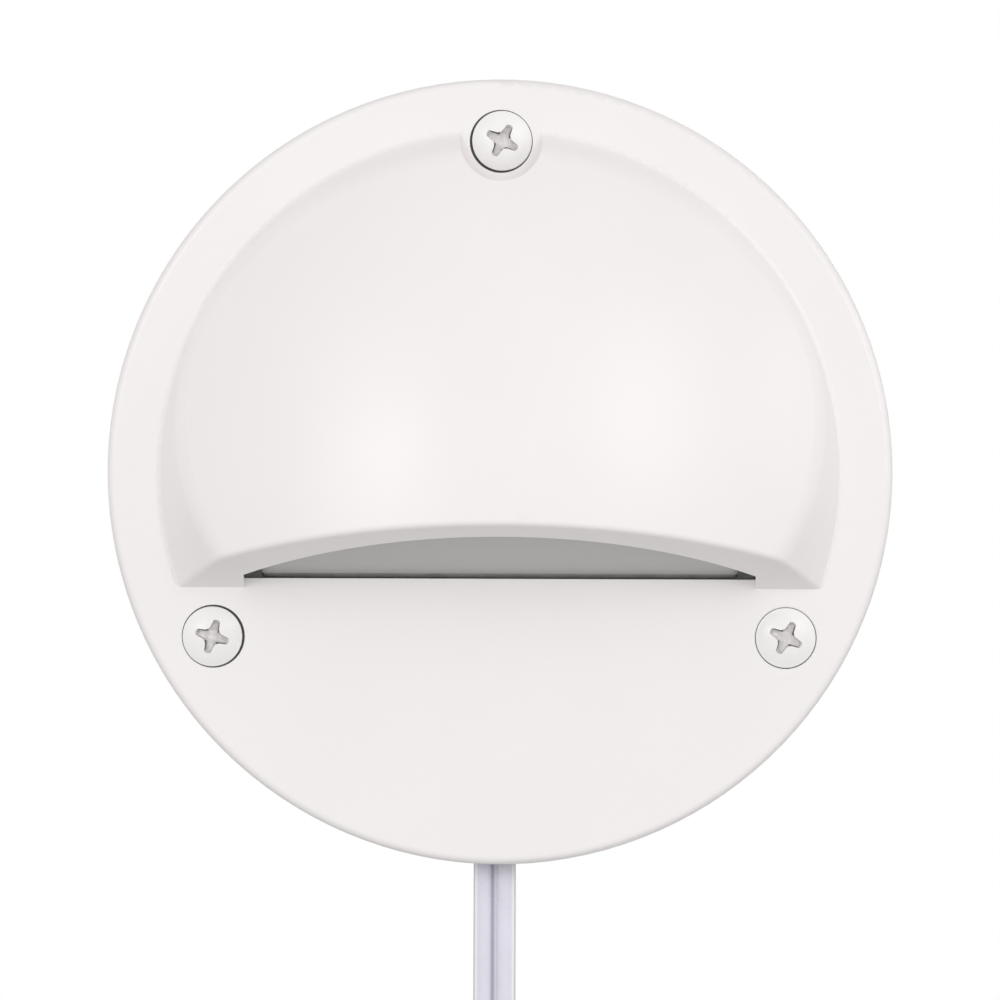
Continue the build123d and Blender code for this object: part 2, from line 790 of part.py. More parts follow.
# The coil's route, in X and Z: each entry is an arc's centre, radius, start angle and sweep. The lead
# bends aside, meets the coil's outer turn and spirals in by half turns, then turns into the middle.
coil_pitch = lead_thickness + coil_gap
coil_top = twist_top - twist_length
bend_z = coil_top - coil_lead_in
route = [((lead_x - coil_bend_radius, bend_z), coil_bend_radius, 0.0, -coil_bend_angle)]
start_angle = 180 - coil_bend_angle
meet_x = lead_x - coil_bend_radius * (1 - math.cos(math.radians(coil_bend_angle)))
meet_z = bend_z - coil_bend_radius * math.sin(math.radians(coil_bend_angle))
coil_x = meet_x - coil_radius * math.cos(math.radians(start_angle))
coil_z = meet_z - coil_radius * math.sin(math.radians(start_angle))
route.append(((coil_x, coil_z), coil_radius, start_angle, 180 - start_angle))
turn_radius = coil_radius
for half in range(coil_half_turns):
    lower = half % 2 == 0
    turn_radius -= coil_pitch / 2
    centre_x = coil_x - coil_pitch / 2 if lower else coil_x
    route.append(((centre_x, coil_z), turn_radius, 180.0 if lower else 0.0, 180.0))
inner_side = 1 if coil_half_turns % 2 else -1
inner_x = route[-1][0][0] + inner_side * (turn_radius - coil_tail_radius)
inner_start = 0.0 if inner_side == 1 else 180.0
route.append(((inner_x, coil_z), coil_tail_radius, inner_start, coil_tail_angle))


def route_point(arc: tuple, share: float) -> tuple[float, float]:
    """Point of the coil's route at a share of one arc's sweep."""
    (cx, cz), radius, begin, sweep_angle = arc
    angle = math.radians(begin + share * sweep_angle)
    return (cx + radius * math.cos(angle), cz + radius * math.sin(angle))


tail_start = route_point(route[-1], 1)
tail_heading = math.radians(inner_start + coil_tail_angle + 90)
tail_dir = (math.cos(tail_heading), math.sin(tail_heading))
tail_end = (tail_start[0] + coil_tail * tail_dir[0], tail_start[1] + coil_tail * tail_dir[1])

coil_section = lead_section(hanging(coil_top, 90))
with BuildPart() as lead_coil:
    with BuildLine(front(lead_y)) as coil_path:
        Line((lead_x, coil_top), (lead_x, bend_z))
        for (centre, radius, begin, sweep_angle) in route:
            CenterArc(centre, radius, begin, sweep_angle)
        Line(tail_start, tail_end)
    sweep(coil_section, path=coil_path.wire())
lead_coil.part.label = "lead_coil"
export_step(lead_coil.part, "parts/lead_coil.step")

# Tie round every turn on the coil's upper left side
tie_radial = (math.cos(math.radians(tie_angle)), math.sin(math.radians(tie_angle)))
tie_inner = coil_radius - coil_pitch * (coil_half_turns // 2) - lobe_r - tie_room
tie_outer = coil_radius + lobe_r + tie_room
tie_mid = (tie_inner + tie_outer) / 2
tie_plane = Plane(
    origin=(coil_x + tie_mid * tie_radial[0], lead_y, coil_z + tie_mid * tie_radial[1]),
    x_dir=(tie_radial[0], 0, tie_radial[1]),
    z_dir=(-tie_radial[1], 0, tie_radial[0]),
)
tie_long = tie_outer - tie_inner
tie_deep = lead_width + 2 * tie_room
with BuildPart() as coil_tie:
    with BuildSketch(tie_plane):
        RectangleRounded(tie_long + 2 * tie_t, tie_deep + 2 * tie_t, tie_t)
        RectangleRounded(tie_long, tie_deep, tie_t / 2, mode=Mode.SUBTRACT)
    extrude(amount=tie_width / 2, both=True)
coil_tie.part.label = "coil_tie"
export_step(coil_tie.part, "parts/coil_tie.step")


def tail_point(run: float, aside: float) -> tuple[float, float, float]:
    """Point past the coil's end, at a run along the tail and a distance aside towards the wall."""
    return (
        tail_end[0] + run * tail_dir[0],
        lead_y + aside,
        tail_end[1] + run * tail_dir[1],
    )


tail_vec = (tail_dir[0], 0, tail_dir[1])
with BuildPart() as lead_ends:
    for side in (-1, 1):
        core_plane = Plane(origin=tail_point(0, side * lobe_x), x_dir=(0, 1, 0), z_dir=tail_vec)
        end_plane = Plane(
            origin=tail_point(split_length, side * (lobe_x + split_spread)),
            x_dir=(0, 1, 0),
            z_dir=tail_vec,
        )
        with BuildSketch(core_plane):
            Circle(lobe_r - metal_fit)
        with BuildSketch(end_plane):
            Circle(lobe_r - metal_fit)
        loft()
lead_ends.part.label = "lead_ends"
export_step(lead_ends.part, "parts/lead_ends.step")

with BuildPart() as wire_tips:
    for side in (-1, 1):
        tip_plane = Plane(
            origin=tail_point(split_length, side * (lobe_x + split_spread)),
            x_dir=(0, 1, 0),
            z_dir=tail_vec,
        )
        with BuildSketch(tip_plane):
            Circle(tip_dia / 2)
        extrude(amount=tip_length)
wire_tips.part.label = "wire_tips"
export_step(wire_tips.part, "parts/wire_tips.step")

# Where the lead comes in: grommet in the rim's notch, saddle clamp, and the split cores to the board
lead_bore = lead_section(hanging(-(ledge_r - grommet_flange - 1)), soft_clear)
with BuildPart() as cord_grommet:
    with BuildSketch(front(rear_y)):
        Circle(disc_r)
        with Locations((lead_x, -disc_r)):
            Rectangle(
                notch_width - 2 * soft_clear,
                2 * (disc_r - ledge_r + soft_clear + grommet_flange),
                mode=Mode.INTERSECT,
            )
    extrude(amount=rear_y - notch_y - soft_clear)
    with BuildSketch(front(rear_y)):
        Circle(plate_r + soft_clear)
    extrude(amount=back_plate_t, mode=Mode.SUBTRACT)
    with BuildSketch(front(plate_y)):
        Circle(ledge_r - soft_clear)
        with Locations((lead_x, -ledge_r + soft_clear + grommet_flange / 2)):
            Rectangle(notch_width + 2 * grommet_flange, grommet_flange, mode=Mode.INTERSECT)
    extrude(amount=plate_y - recess_y - soft_clear)
    extrude(lead_bore, amount=disc_r, mode=Mode.SUBTRACT)
cord_grommet.part.label = "cord_grommet"
export_step(cord_grommet.part, "parts/cord_grommet.step")

saddle_half = lead_width / 2 + soft_clear
with BuildPart() as cord_clamp:
    with BuildSketch(Plane.XY.offset(clamp_top)):
        with Locations((lead_x, plate_y - clamp_t / 2)):
            Rectangle(2 * (clamp_ear + clamp_screw_dia), clamp_t)
        with Locations((lead_x, plate_y - (lead_thickness + clamp_t) / 2)):
            Rectangle(2 * (saddle_half + clamp_t), lead_thickness + clamp_t)
        with Locations((lead_x, plate_y - lead_thickness / 2)):
            Rectangle(2 * saddle_half, lead_thickness, mode=Mode.SUBTRACT)
    extrude(amount=-clamp_height)
    with BuildSketch(front(plate_y)):
        for side in (-1, 1):
            with Locations((lead_x + side * clamp_ear, clamp_top - clamp_height / 2)):
                Circle(clamp_screw_dia / 2 + hole_clear)
    extrude(amount=clamp_t, mode=Mode.SUBTRACT)
cord_clamp.part.label = "cord_clamp"
export_step(cord_clamp.part, "parts/cord_clamp.step")

clamp_heads = [
    pan_screw(
        Plane(
            origin=(lead_x + side * clamp_ear, plate_y - clamp_t, clamp_top - clamp_height / 2),
            x_dir=(1, 0, 0),
            z_dir=(0, -1, 0),
        ),
        clamp_screw_dia,
        clamp_t + back_plate_t - blind_wall - screw_end_gap,
    )
    for side in (-1, 1)
]
with BuildPart() as clamp_screws:
    add(clamp_heads)
clamp_screws.part.label = "clamp_screws"
export_step(clamp_screws.part, "parts/clamp_screws.step")

core_r = core_dia / 2
pad_y = parts_y - core_r - metal_fit
with BuildPart() as inner_leads:
    for side in (-1, 1):
        core_x = lead_x + side * lobe_x
        with BuildLine() as core_path:
            FilletPolyline(
                (core_x, lead_y, clamp_top),
                (core_x, lead_y, clamp_top + core_straight),
                (core_x + side * core_spread, pad_y, driver_low - screw_end_gap),
                (core_x + side * core_spread, pad_y, driver_low + core_overlap),
                radius=core_dia,
            )
        with BuildSketch(Plane(origin=(core_x, lead_y, clamp_top), z_dir=(0, 0, 1))):
            Circle(core_r)
        sweep(path=core_path.wire())
inner_leads.part.label = "inner_leads"
export_step(inner_leads.part, "parts/inner_leads.step")

link_r = link_dia / 2
link_y = parts_y - link_r - metal_fit
link_side = lens_rib_length / 2 + link_clear + link_r
led_pad = mouth.from_local_coords(
    (0, link_led_pad[1] - board_run, shelf_depth - board_drop - link_r - metal_fit)
)
with BuildPart() as link_wires:
    for side in (-1, 1):
        with BuildLine() as link_path:
            FilletPolyline(
                (side * (driver_width / 2 - link_board_pad[0]), link_y, driver_top - link_board_pad[1]),
                (side * link_side, link_y, driver_top - link_board_pad[1]),
                (side * link_side, link_y, link_rise - sill_drop),
                (side * (bracket_width / 2 + link_dia), led_pad.Y, led_pad.Z),
                (side * (bracket_width / 2 - link_led_pad[0]), led_pad.Y, led_pad.Z),
                radius=link_bend,
            )
        start = link_path.wire() @ 0
        with BuildSketch(Plane(origin=start, z_dir=link_path.wire() % 0)):
            Circle(link_r)
        sweep(path=link_path.wire())
link_wires.part.label = "link_wires"
export_step(link_wires.part, "parts/link_wires.step")

# Figures for the lead
section_area = drop_section.area
coil_length = sum(r * math.radians(abs(a)) for (_, r, _, a) in route) + coil_lead_in + coil_tail
free_length = -disc_r - twist_top + twist_length + coil_length + split_length + tip_length
print(f"lead from the rim to its tips: {free_length:.1f} mm")
print(f"coil: swept volume {lead_coil.part.volume:.1f}, section x length {section_area * coil_length:.1f}")
print(f"twist: volume {lead_twist.part.volume:.1f}, section x length {section_area * twist_length:.1f}")
print("coil radii: " + ", ".join(f"{r:.2f}" for (_, r, _, _) in route))
samples = []
run = 0.0
for arc in route:
    arc_length = arc[1] * math.radians(abs(arc[3]))
    steps = max(2, int(arc_length / 1.5))
    for i in range(steps):
        samples.append((run + arc_length * i / steps, route_point(arc, i / steps)))
    run += arc_length
near = min(
    math.dist(p, q)
    for (a, p) in samples
    for (b, q) in samples
    if b - a > 6 * coil_pitch
)
print(f"least gap of the coil to itself: {near - lead_thickness:.2f} mm")
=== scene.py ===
"""Looks of a round surface-mounted deck light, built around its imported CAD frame.

The screws, lead and tie are modelled here over their CAD solids. The other CAD nodes keep their shape and
get a finish. Sizes in the classes are millimetres in the part's frame: +Z is up, the light looks along -Y,
the wall is the plane y = 0 and the origin is the middle of the light on it.
"""

import logging
import math
from collections.abc import Callable
from dataclasses import dataclass, field
from enum import Enum

import bpy
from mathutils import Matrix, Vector


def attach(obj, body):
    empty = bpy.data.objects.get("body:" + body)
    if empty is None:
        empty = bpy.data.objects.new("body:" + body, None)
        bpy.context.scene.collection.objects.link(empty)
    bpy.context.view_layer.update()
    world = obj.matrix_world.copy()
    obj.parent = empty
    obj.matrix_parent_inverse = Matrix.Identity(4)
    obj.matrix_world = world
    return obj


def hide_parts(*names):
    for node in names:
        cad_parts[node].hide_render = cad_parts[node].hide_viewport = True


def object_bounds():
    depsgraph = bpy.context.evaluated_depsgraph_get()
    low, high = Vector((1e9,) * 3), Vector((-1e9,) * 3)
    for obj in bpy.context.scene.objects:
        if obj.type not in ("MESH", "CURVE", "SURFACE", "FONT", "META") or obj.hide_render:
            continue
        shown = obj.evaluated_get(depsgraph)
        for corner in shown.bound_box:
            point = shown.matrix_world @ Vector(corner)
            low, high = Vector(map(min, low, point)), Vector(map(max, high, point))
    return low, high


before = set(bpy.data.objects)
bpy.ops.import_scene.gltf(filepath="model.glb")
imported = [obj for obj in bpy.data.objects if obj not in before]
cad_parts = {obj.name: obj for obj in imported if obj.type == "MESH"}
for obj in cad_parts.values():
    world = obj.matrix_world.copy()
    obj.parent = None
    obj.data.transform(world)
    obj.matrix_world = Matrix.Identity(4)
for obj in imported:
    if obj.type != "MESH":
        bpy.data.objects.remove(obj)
cad_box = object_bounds()

log = logging.getLogger("deck_light")
MM = 0.001
BODY = "root"
# Sharpest edge, in degrees, that the small moulded and drawn pieces shade smooth
SOFT_EDGE = 40.0


class Slot(Enum):
    """Names of the record's material slots for the new pieces; the code here does not use them."""

    SCREW = "white_screw"
    JACKET = "lead_jacket"
    NYLON = "natural_nylon"
    COPPER = "bare_copper"


def mm(x: float, y: float, z: float) -> Vector:
    """Point given in millimetres, in metres."""
    return Vector((x, y, z)) * MM


def clear_bench() -> None:
    """Leaves edit mode and deselects everything."""
    if bpy.context.mode != "OBJECT":
        bpy.ops.object.mode_set(mode="OBJECT")
    bpy.ops.object.select_all(action="DESELECT")


def take_up(piece: bpy.types.Object) -> None:
    """Makes one piece the only selected and active one.

    Args:
        piece: The object to work on.
    """
    clear_bench()
    piece.select_set(True)
    bpy.context.view_layer.objects.active = piece


def close_seams(piece: bpy.types.Object, reach: float = 0.0005) -> None:
    """Merges the doubled points of a mesh and turns its faces outwards.

    Args:
        piece: Mesh whose seams and poles lie on each other.
        reach: Distance in millimetres within which points are merged.
    """
    take_up(piece)
    bpy.ops.object.mode_set(mode="EDIT")
    bpy.ops.mesh.select_all(action="SELECT")
    bpy.ops.mesh.remove_doubles(threshold=reach * MM)
    bpy.ops.mesh.normals_make_consistent(inside=False)
    bpy.ops.object.mode_set(mode="OBJECT")


def smooth(piece: bpy.types.Object, angle: float = 35.0) -> None:
    """Shades a piece smooth, with edges sharper than an angle kept.

    Args:
        piece: Mesh to shade.
        angle: Sharpest smooth edge, in degrees.
    """
    take_up(piece)
    bpy.ops.object.shade_smooth_by_angle(angle=math.radians(angle))


def skin(name: str, columns: int, rows: int, place: Callable[[float, float], Vector]) -> bpy.types.Object:
    """Closed mesh made from a grid whose points are laid on a surface.

    Args:
        name: Name of the piece.
        columns: Faces across the grid.
        rows: Faces along the grid.
        place: Gives a point in metres from the shares, 0 to 1, across and along.

    Returns:
        The mesh object, at the origin.
    """
    clear_bench()
    bpy.ops.mesh.primitive_grid_add(x_subdivisions=columns, y_subdivisions=rows, size=1)
    piece = bpy.context.object
    piece.name = name
    for vertex in piece.data.vertices:
        vertex.co = place(vertex.co.x + 0.5, vertex.co.y + 0.5)
    close_seams(piece)
    return piece


def sweep(name: str, rings: list[list[Vector]], closed: bool = False) -> bpy.types.Object:
    """Skin over rings of points, capped at both ends or joined into a loop.

    Args:
        name: Name of the piece.
        rings: Points of each ring in metres, in the same order.
        closed: Whether the last ring joins the first.

    Returns:
        The mesh object, at the origin.
    """
    count, total = len(rings[0]), len(rings)
    faces = []
    for i in range(total if closed else total - 1):
        here, there = i * count, (i + 1) % total * count
        for j in range(count):
            k = (j + 1) % count
            faces.append((here + j, here + k, there + k, there + j))
    if not closed:
        faces += [tuple(range(count)), tuple(range((total - 1) * count, total * count))]
    mesh = bpy.data.meshes.new(name)
    mesh.from_pydata([corner for ring in rings for corner in ring], [], faces)
    piece = bpy.data.objects.new(name, mesh)
    bpy.context.scene.collection.objects.link(piece)
    close_seams(piece, 0.00005)
    return piece


def spline_points(route: list[Vector], steps: int) -> list[Vector]:
    """Points read from the smooth spline that a route's points control.

    Args:
        route: Control points in metres.
        steps: Points between two control points.

    Returns:
        The spline's points in order.
    """
    curve = bpy.data.curves.new("route", "CURVE")
    curve.dimensions = "3D"
    curve.resolution_u = steps
    spline = curve.splines.new("NURBS")
    spline.points.add(len(route) - 1)
    for point, place in zip(spline.points, route):
        point.co = (*place, 1)
    spline.order_u = 3
    spline.use_endpoint_u = True
    holder = bpy.data.objects.new("route", curve)
    mesh = bpy.data.meshes.new_from_object(holder)
    points = [vertex.co.copy() for vertex in mesh.vertices]
    bpy.data.meshes.remove(mesh)
    bpy.data.objects.remove(holder)
    bpy.data.curves.remove(curve)
    return points


def cut(piece: bpy.types.Object, tool: bpy.types.Object) -> None:
    """Cuts one mesh out of another and removes the tool.

    Args:
        piece: Mesh that is cut.
        tool: Closed mesh that is taken away.
    """
    take_up(piece)
    bpy.ops.object.modifier_add(type="BOOLEAN")
    modifier = piece.modifiers[-1]
    modifier.operation = "DIFFERENCE"
    modifier.solver = "EXACT"
    modifier.object = tool
    bpy.ops.object.modifier_apply(modifier=modifier.name)
    bpy.data.objects.remove(tool)


def round_edges(piece: bpy.types.Object, width: float, segments: int) -> None:
    """Bevels a piece's sharp edges and shades it smooth.

    Args:
        piece: Mesh to finish.
        width: Width of the bevel in millimetres.
        segments: Faces across the bevel.
    """
    take_up(piece)
    bpy.ops.object.modifier_add(type="BEVEL")
    bevel = piece.modifiers[-1]
    bevel.width, bevel.segments, bevel.limit_method = width * MM, segments, "ANGLE"
    bpy.ops.object.modifier_apply(modifier=bevel.name)
    smooth(piece, SOFT_EDGE)


class Nodes:
    """A material's node tree, with short calls that add nodes and join them."""

    def __init__(self, name: str) -> None:
        """Starts a material with a principled shader.

        Args:
            name: Name of the material.
        """
        self.material = bpy.data.materials.new(name)
        self.material.use_nodes = True
        self.tree = self.material.node_tree
        self.shader = self.tree.nodes["Principled BSDF"]
        self.place = self.add("ShaderNodeTexCoord").outputs["Object"]

    def add(self, kind: str, **values: object) -> bpy.types.Node:
        """Adds a node and sets its own properties.

        Args:
            kind: Blender's name of the node type.
            **values: Properties of the node.

        Returns:
            The new node.
        """
        node = self.tree.nodes.new(kind)
        for key, value in values.items():
            setattr(node, key, value)
        return node

    def join(self, source: bpy.types.NodeSocket, target: bpy.types.NodeSocket) -> None:
        """Joins an output to an input."""
        self.tree.links.new(source, target)

    def noise(self, size: float, detail: float = 2.0, stretch: Vector | None = None) -> bpy.types.NodeSocket:
        """Noise on the piece's own coordinates.

        Args:
            size: Size of its spots in millimetres.
            detail: Octaves of finer noise.
            stretch: How many times longer the spots are along X, Y and Z.

        Returns:
            The noise value's output.
        """
        texture = self.add("ShaderNodeTexNoise")
        texture.inputs["Scale"].default_value = 1 / (size * MM)
        texture.inputs["Detail"].default_value = detail
        source = self.place
        if stretch is not None:
            mapping = self.add("ShaderNodeMapping")
            mapping.inputs["Scale"].default_value = [1 / s for s in stretch]
            self.join(source, mapping.inputs["Vector"])
            source = mapping.outputs["Vector"]
        self.join(source, texture.inputs["Vector"])
        return texture.outputs["Fac"]

    def ramp(
        self,
        source: bpy.types.NodeSocket,
        low: float,
        high: float,
        span: tuple[float, float] = (0.3, 0.7),
    ) -> bpy.types.NodeSocket:
        """Maps a value's middle span to a range.

        Args:
            source: Value to map.
            low: Result at the span's start.
            high: Result at its end.
            span: Part of the value that is used.

        Returns:
            The mapped value's output.
        """
        node = self.add("ShaderNodeMapRange")
        self.join(source, node.inputs["Value"])
        for key, value in zip(("From Min", "From Max", "To Min", "To Max"), (*span, low, high)):
            node.inputs[key].default_value = value
        return node.outputs["Result"]

    def sum(
        self, first: bpy.types.NodeSocket, second: bpy.types.NodeSocket, way: str
    ) -> bpy.types.NodeSocket:
        """Joins two values.

        Args:
            first: One value.
            second: The other.
            way: Blender's name of the operation.

        Returns:
            The result's output.
        """
        node = self.add("ShaderNodeMath", operation=way)
        self.join(first, node.inputs[0])
        self.join(second, node.inputs[1])
        return node.outputs[0]

    def blend(self, share: bpy.types.NodeSocket, first: object, second: object) -> bpy.types.NodeSocket:
        """Mixes two colours, each a value or another node's output.

        Args:
            share: Share of the second colour.
            first: Colour at share 0.
            second: Colour at share 1.

        Returns:
            The mixed colour's output.
        """
        node = self.add("ShaderNodeMix", data_type="RGBA")
        self.join(share, node.inputs[0])
        for socket, colour in ((node.inputs[6], first), (node.inputs[7], second)):
            if isinstance(colour, bpy.types.NodeSocket):
                self.join(colour, socket)
            else:
                socket.default_value = (*colour, 1)
        return node.outputs[2]

    def bump(self, height: bpy.types.NodeSocket, strength: float, depth: float) -> None:
        """Raises the surface by a height value, over any bump before it.

        Args:
            height: Height from 0 to 1.
            strength: Share of the bump that shows.
            depth: Full height in millimetres.
        """
        node = self.add("ShaderNodeBump")
        node.inputs["Strength"].default_value = strength
        node.inputs["Distance"].default_value = depth * MM
        self.join(height, node.inputs["Height"])
        normal = self.shader.inputs["Normal"]
        if normal.is_linked:
            self.join(normal.links[0].from_socket, node.inputs["Normal"])
        self.join(node.outputs["Normal"], normal)


@dataclass(frozen=True)
class Finish:
    """A surface: its colour and gloss, how they drift, and its grain.

    Sizes and depths are millimetres, and drifts are shares of the value that drifts.
    """

    name: str
    colour: tuple[float, float, float]
    roughness: float
    metallic: float = 0.0
    specular: float = 0.5
    drift: float = 0.03
    drift_size: float = 8.0
    gloss_drift: float = 0.12
    grain: float = 0.15
    grain_size: float = 0.4
    grain_depth: float = 0.02
    stretch: tuple[float, float, float] = (1.0, 1.0, 1.0)

    def make(self) -> bpy.types.Material:
        """Builds the material.

        Returns:
            The finished material.
        """
        nodes = Nodes(self.name)
        nodes.shader.inputs["Metallic"].default_value = self.metallic
        nodes.shader.inputs["Specular IOR Level"].default_value = self.specular
        broad = nodes.noise(self.drift_size, 3.0, Vector(self.stretch))
        fine = nodes.noise(self.grain_size, 3.0, Vector(self.stretch))
        nodes.join(self.tint(nodes, broad), nodes.shader.inputs["Base Color"])
        low, high = (self.roughness * (1 + side * self.gloss_drift) for side in (-1, 1))
        nodes.join(nodes.ramp(broad, low, high), nodes.shader.inputs["Roughness"])
        nodes.bump(fine, self.grain, self.grain_depth)
        self.extra(nodes)
        return nodes.material

    def tint(self, nodes: Nodes, share: bpy.types.NodeSocket) -> bpy.types.NodeSocket:
        """Colour that drifts a little over the surface.

        Args:
            nodes: The material's tree.
            share: Noise that the colour follows.

        Returns:
            The colour's output.
        """
        dark, light = (tuple(min(1.0, c * (1 + side * self.drift)) for c in self.colour) for side in (-1, 1))
        return nodes.blend(nodes.ramp(share, 0, 1), dark, light)

    def extra(self, nodes: Nodes) -> None:
        """What a kind of surface adds; nothing on a plain one."""


@dataclass(frozen=True)
class Coat(Finish):
    """Powder coat: fine orange peel over a slow swell."""

    peel_size: float = 1.3
    peel_depth: float = 0.02
    peel: float = 0.12

    def extra(self, nodes: Nodes) -> None:
        """Adds the orange peel."""
        nodes.bump(nodes.noise(self.peel_size, 1.0), self.peel, self.peel_depth)


@dataclass(frozen=True)
class CoverCoat(Coat):
    """The cover's powder coat, with painted shade in its screw holes: a near black colour there stands for
    the shadow in the gap round each screw head.

    Each hole has its angle on the circle and the depth behind the face at which its painted shade starts.
    """

    # Painted shade of the gap round each screw head, near black.
    painted_gap_shade: tuple[float, float, float] = (0.060, 0.058, 0.056)
    hole_circle: float = 74.8
    holes: tuple[tuple[float, float], ...] = ((90.0, 0.03), (210.0, 0.03), (330.0, 0.11))
    hole_reach: float = 4.3
    face_y: float = -10.0
    fade: float = 0.02

    def tint(self, nodes: Nodes, share: bpy.types.NodeSocket) -> bpy.types.NodeSocket:
        """Coat's colour, and the painted shade in the screw holes.

        Args:
            nodes: The material's tree.
            share: Noise that the coat's colour follows.

        Returns:
            The colour's output.
        """
        coat = super().tint(nodes, share)
        flat = nodes.add("ShaderNodeMapping")
        flat.inputs["Scale"].default_value = (1, 0, 1)
        nodes.join(nodes.place, flat.inputs["Vector"])
        depth = nodes.add("ShaderNodeSeparateXYZ")
        nodes.join(nodes.place, depth.inputs[0])
        # Painted shade in each hole, from its given depth behind the face.
        hole_shade = None
        for angle, unshaded_depth in self.holes:
            turn = math.radians(angle)
            gap = nodes.add("ShaderNodeVectorMath", operation="DISTANCE")
            nodes.join(flat.outputs["Vector"], gap.inputs[0])
            gap.inputs[1].default_value = mm(math.cos(turn), 0, math.sin(turn)) * (self.hole_circle / 2)
            edge = ((self.hole_reach - self.fade) * MM, self.hole_reach * MM)
            within = nodes.ramp(gap.outputs["Value"], 1, 0, edge)
            start = self.face_y + unshaded_depth
            below = nodes.ramp(depth.outputs["Y"], 0, 1, (start * MM, (start + self.fade) * MM))
            hole = nodes.sum(within, below, "MULTIPLY")
            hole_shade = hole if hole_shade is None else nodes.sum(hole_shade, hole, "MAXIMUM")
        return nodes.blend(hole_shade, coat, self.painted_gap_shade)


@dataclass(frozen=True)
class CornerShadedRubber(Finish):
    """Rubber with painted shade at both ends of the piece, from a distance along X, where it runs into the
    mouth's corners.
    """

    # Painted shade in the mouth's corners.
    corner_shade_colour: tuple[float, float, float] = (0.045, 0.045, 0.045)
    corner_shade_start: float = 26.7
    fade: float = 0.1

    def tint(self, nodes: Nodes, share: bpy.types.NodeSocket) -> bpy.types.NodeSocket:
        """Rubber's colour, and the painted shade at its ends.

        Args:
            nodes: The material's tree.
            share: Noise that the rubber's colour follows.

        Returns:
            The colour's output.
        """
        rubber = super().tint(nodes, share)
        place = nodes.add("ShaderNodeSeparateXYZ")
        nodes.join(nodes.place, place.inputs[0])
        out = nodes.add("ShaderNodeMath", operation="ABSOLUTE")
        nodes.join(place.outputs["X"], out.inputs[0])
        corner_shade = nodes.ramp(out.outputs[0], 0, 1, (self.corner_shade_start * MM, (self.corner_shade_start + self.fade) * MM))
        return nodes.blend(corner_shade, rubber, self.corner_shade_colour)


@dataclass(frozen=True)
class Foam(Finish):
    """Closed-cell foam: small cut cells all over."""

    cell_size: float = 0.5
    cell_depth: float = 0.12
    cell_span: tuple[float, float] = (0.1, 0.6)
    cell_bump: float = 0.8

    def extra(self, nodes: Nodes) -> None:
        """Adds the cells."""
        cells = nodes.add("ShaderNodeTexVoronoi")
        cells.inputs["Scale"].default_value = 1 / (self.cell_size * MM)
        nodes.join(nodes.place, cells.inputs["Vector"])
        height = nodes.ramp(cells.outputs["Distance"], 0, 1, self.cell_span)
        nodes.bump(height, self.cell_bump, self.cell_depth)


@dataclass(frozen=True)
class Jacket(Finish):
    """Clear extruded jacket over two pale cores, with painted light and shade: painted shade in the groove,
    and at each side a painted near white band for the light seen through the clear edge, then a painted dark
    edge line.

    Each band has the colour that it shows, under the name of the attribute that holds its share.
    """

    # Painted light and shade bands: see-through light at the sides, a dark edge line, and shade in the
    # groove.
    bands: tuple[tuple[str, tuple[float, float, float]], ...] = (
        ("painted_see_through_light", (0.97, 0.97, 0.98)),
        ("painted_edge_shade", (0.24, 0.235, 0.27)),
        ("groove_shade", (0.36, 0.34, 0.43)),
    )
    clear_gloss: float = 0.5
    clear_roughness: float = 0.12

    def tint(self, nodes: Nodes, share: bpy.types.NodeSocket) -> bpy.types.NodeSocket:
        """Colour of the cores, with the painted light and shade bands over it.

        Args:
            nodes: The material's tree.
            share: Noise that the cores' colour follows.

        Returns:
            The colour's output.
        """
        colour = super().tint(nodes, share)
        for name, shade in self.bands:
            band = nodes.add("ShaderNodeAttribute", attribute_name=name)
            colour = nodes.blend(band.outputs["Fac"], colour, shade)
        return colour

    def extra(self, nodes: Nodes) -> None:
        """Sets the jacket's clear gloss."""
        nodes.shader.inputs["Coat Weight"].default_value = self.clear_gloss
        nodes.shader.inputs["Coat Roughness"].default_value = self.clear_roughness


@dataclass(frozen=True)
class Paper(Finish):
    """Studio floor: pale to the eye, and throws no light back up."""

    def extra(self, nodes: Nodes) -> None:
        """Lets light that bounces from the object pass through."""
        clear = nodes.add("ShaderNodeBsdfTransparent")
        choice = nodes.add("ShaderNodeMixShader")
        path = nodes.add("ShaderNodeLightPath").outputs
        nodes.join(nodes.sum(path["Is Diffuse Ray"], path["Is Shadow Ray"], "MAXIMUM"), choice.inputs[0])
        nodes.join(nodes.shader.outputs[0], choice.inputs[1])
        nodes.join(clear.outputs[0], choice.inputs[2])
        nodes.join(choice.outputs[0], nodes.tree.nodes["Material Output"].inputs["Surface"])


WHITE_COAT = CoverCoat("white_coat", (0.885, 0.856, 0.848), 0.34, drift=0.006, drift_size=14.0, grain=0.05)
SCREW_PAINT = Coat("screw_paint", (0.88, 0.87, 0.86), 0.33, drift=0.015, drift_size=3.0, peel_size=0.8)
# Greyer paint inside the screws' cross recesses, as painted shade.
RECESS_SHADE = Coat("painted_recess_shade", (0.74, 0.70, 0.70), 0.42, drift=0.20, drift_size=0.6, peel_size=0.5)
# Dark zinc of the screw shanks, also used as dark painted shade on one wall of each recess wing.
BLACK_ZINC_AND_SHADE = Finish("black_zinc_and_shade", (0.10, 0.10, 0.105), 0.42, 1.0, drift=0.15, drift_size=1.2)
FROSTED = Finish("frosted_pane", (0.55, 0.54, 0.53), 0.45, drift=0.02, grain=0.25, grain_size=0.15)
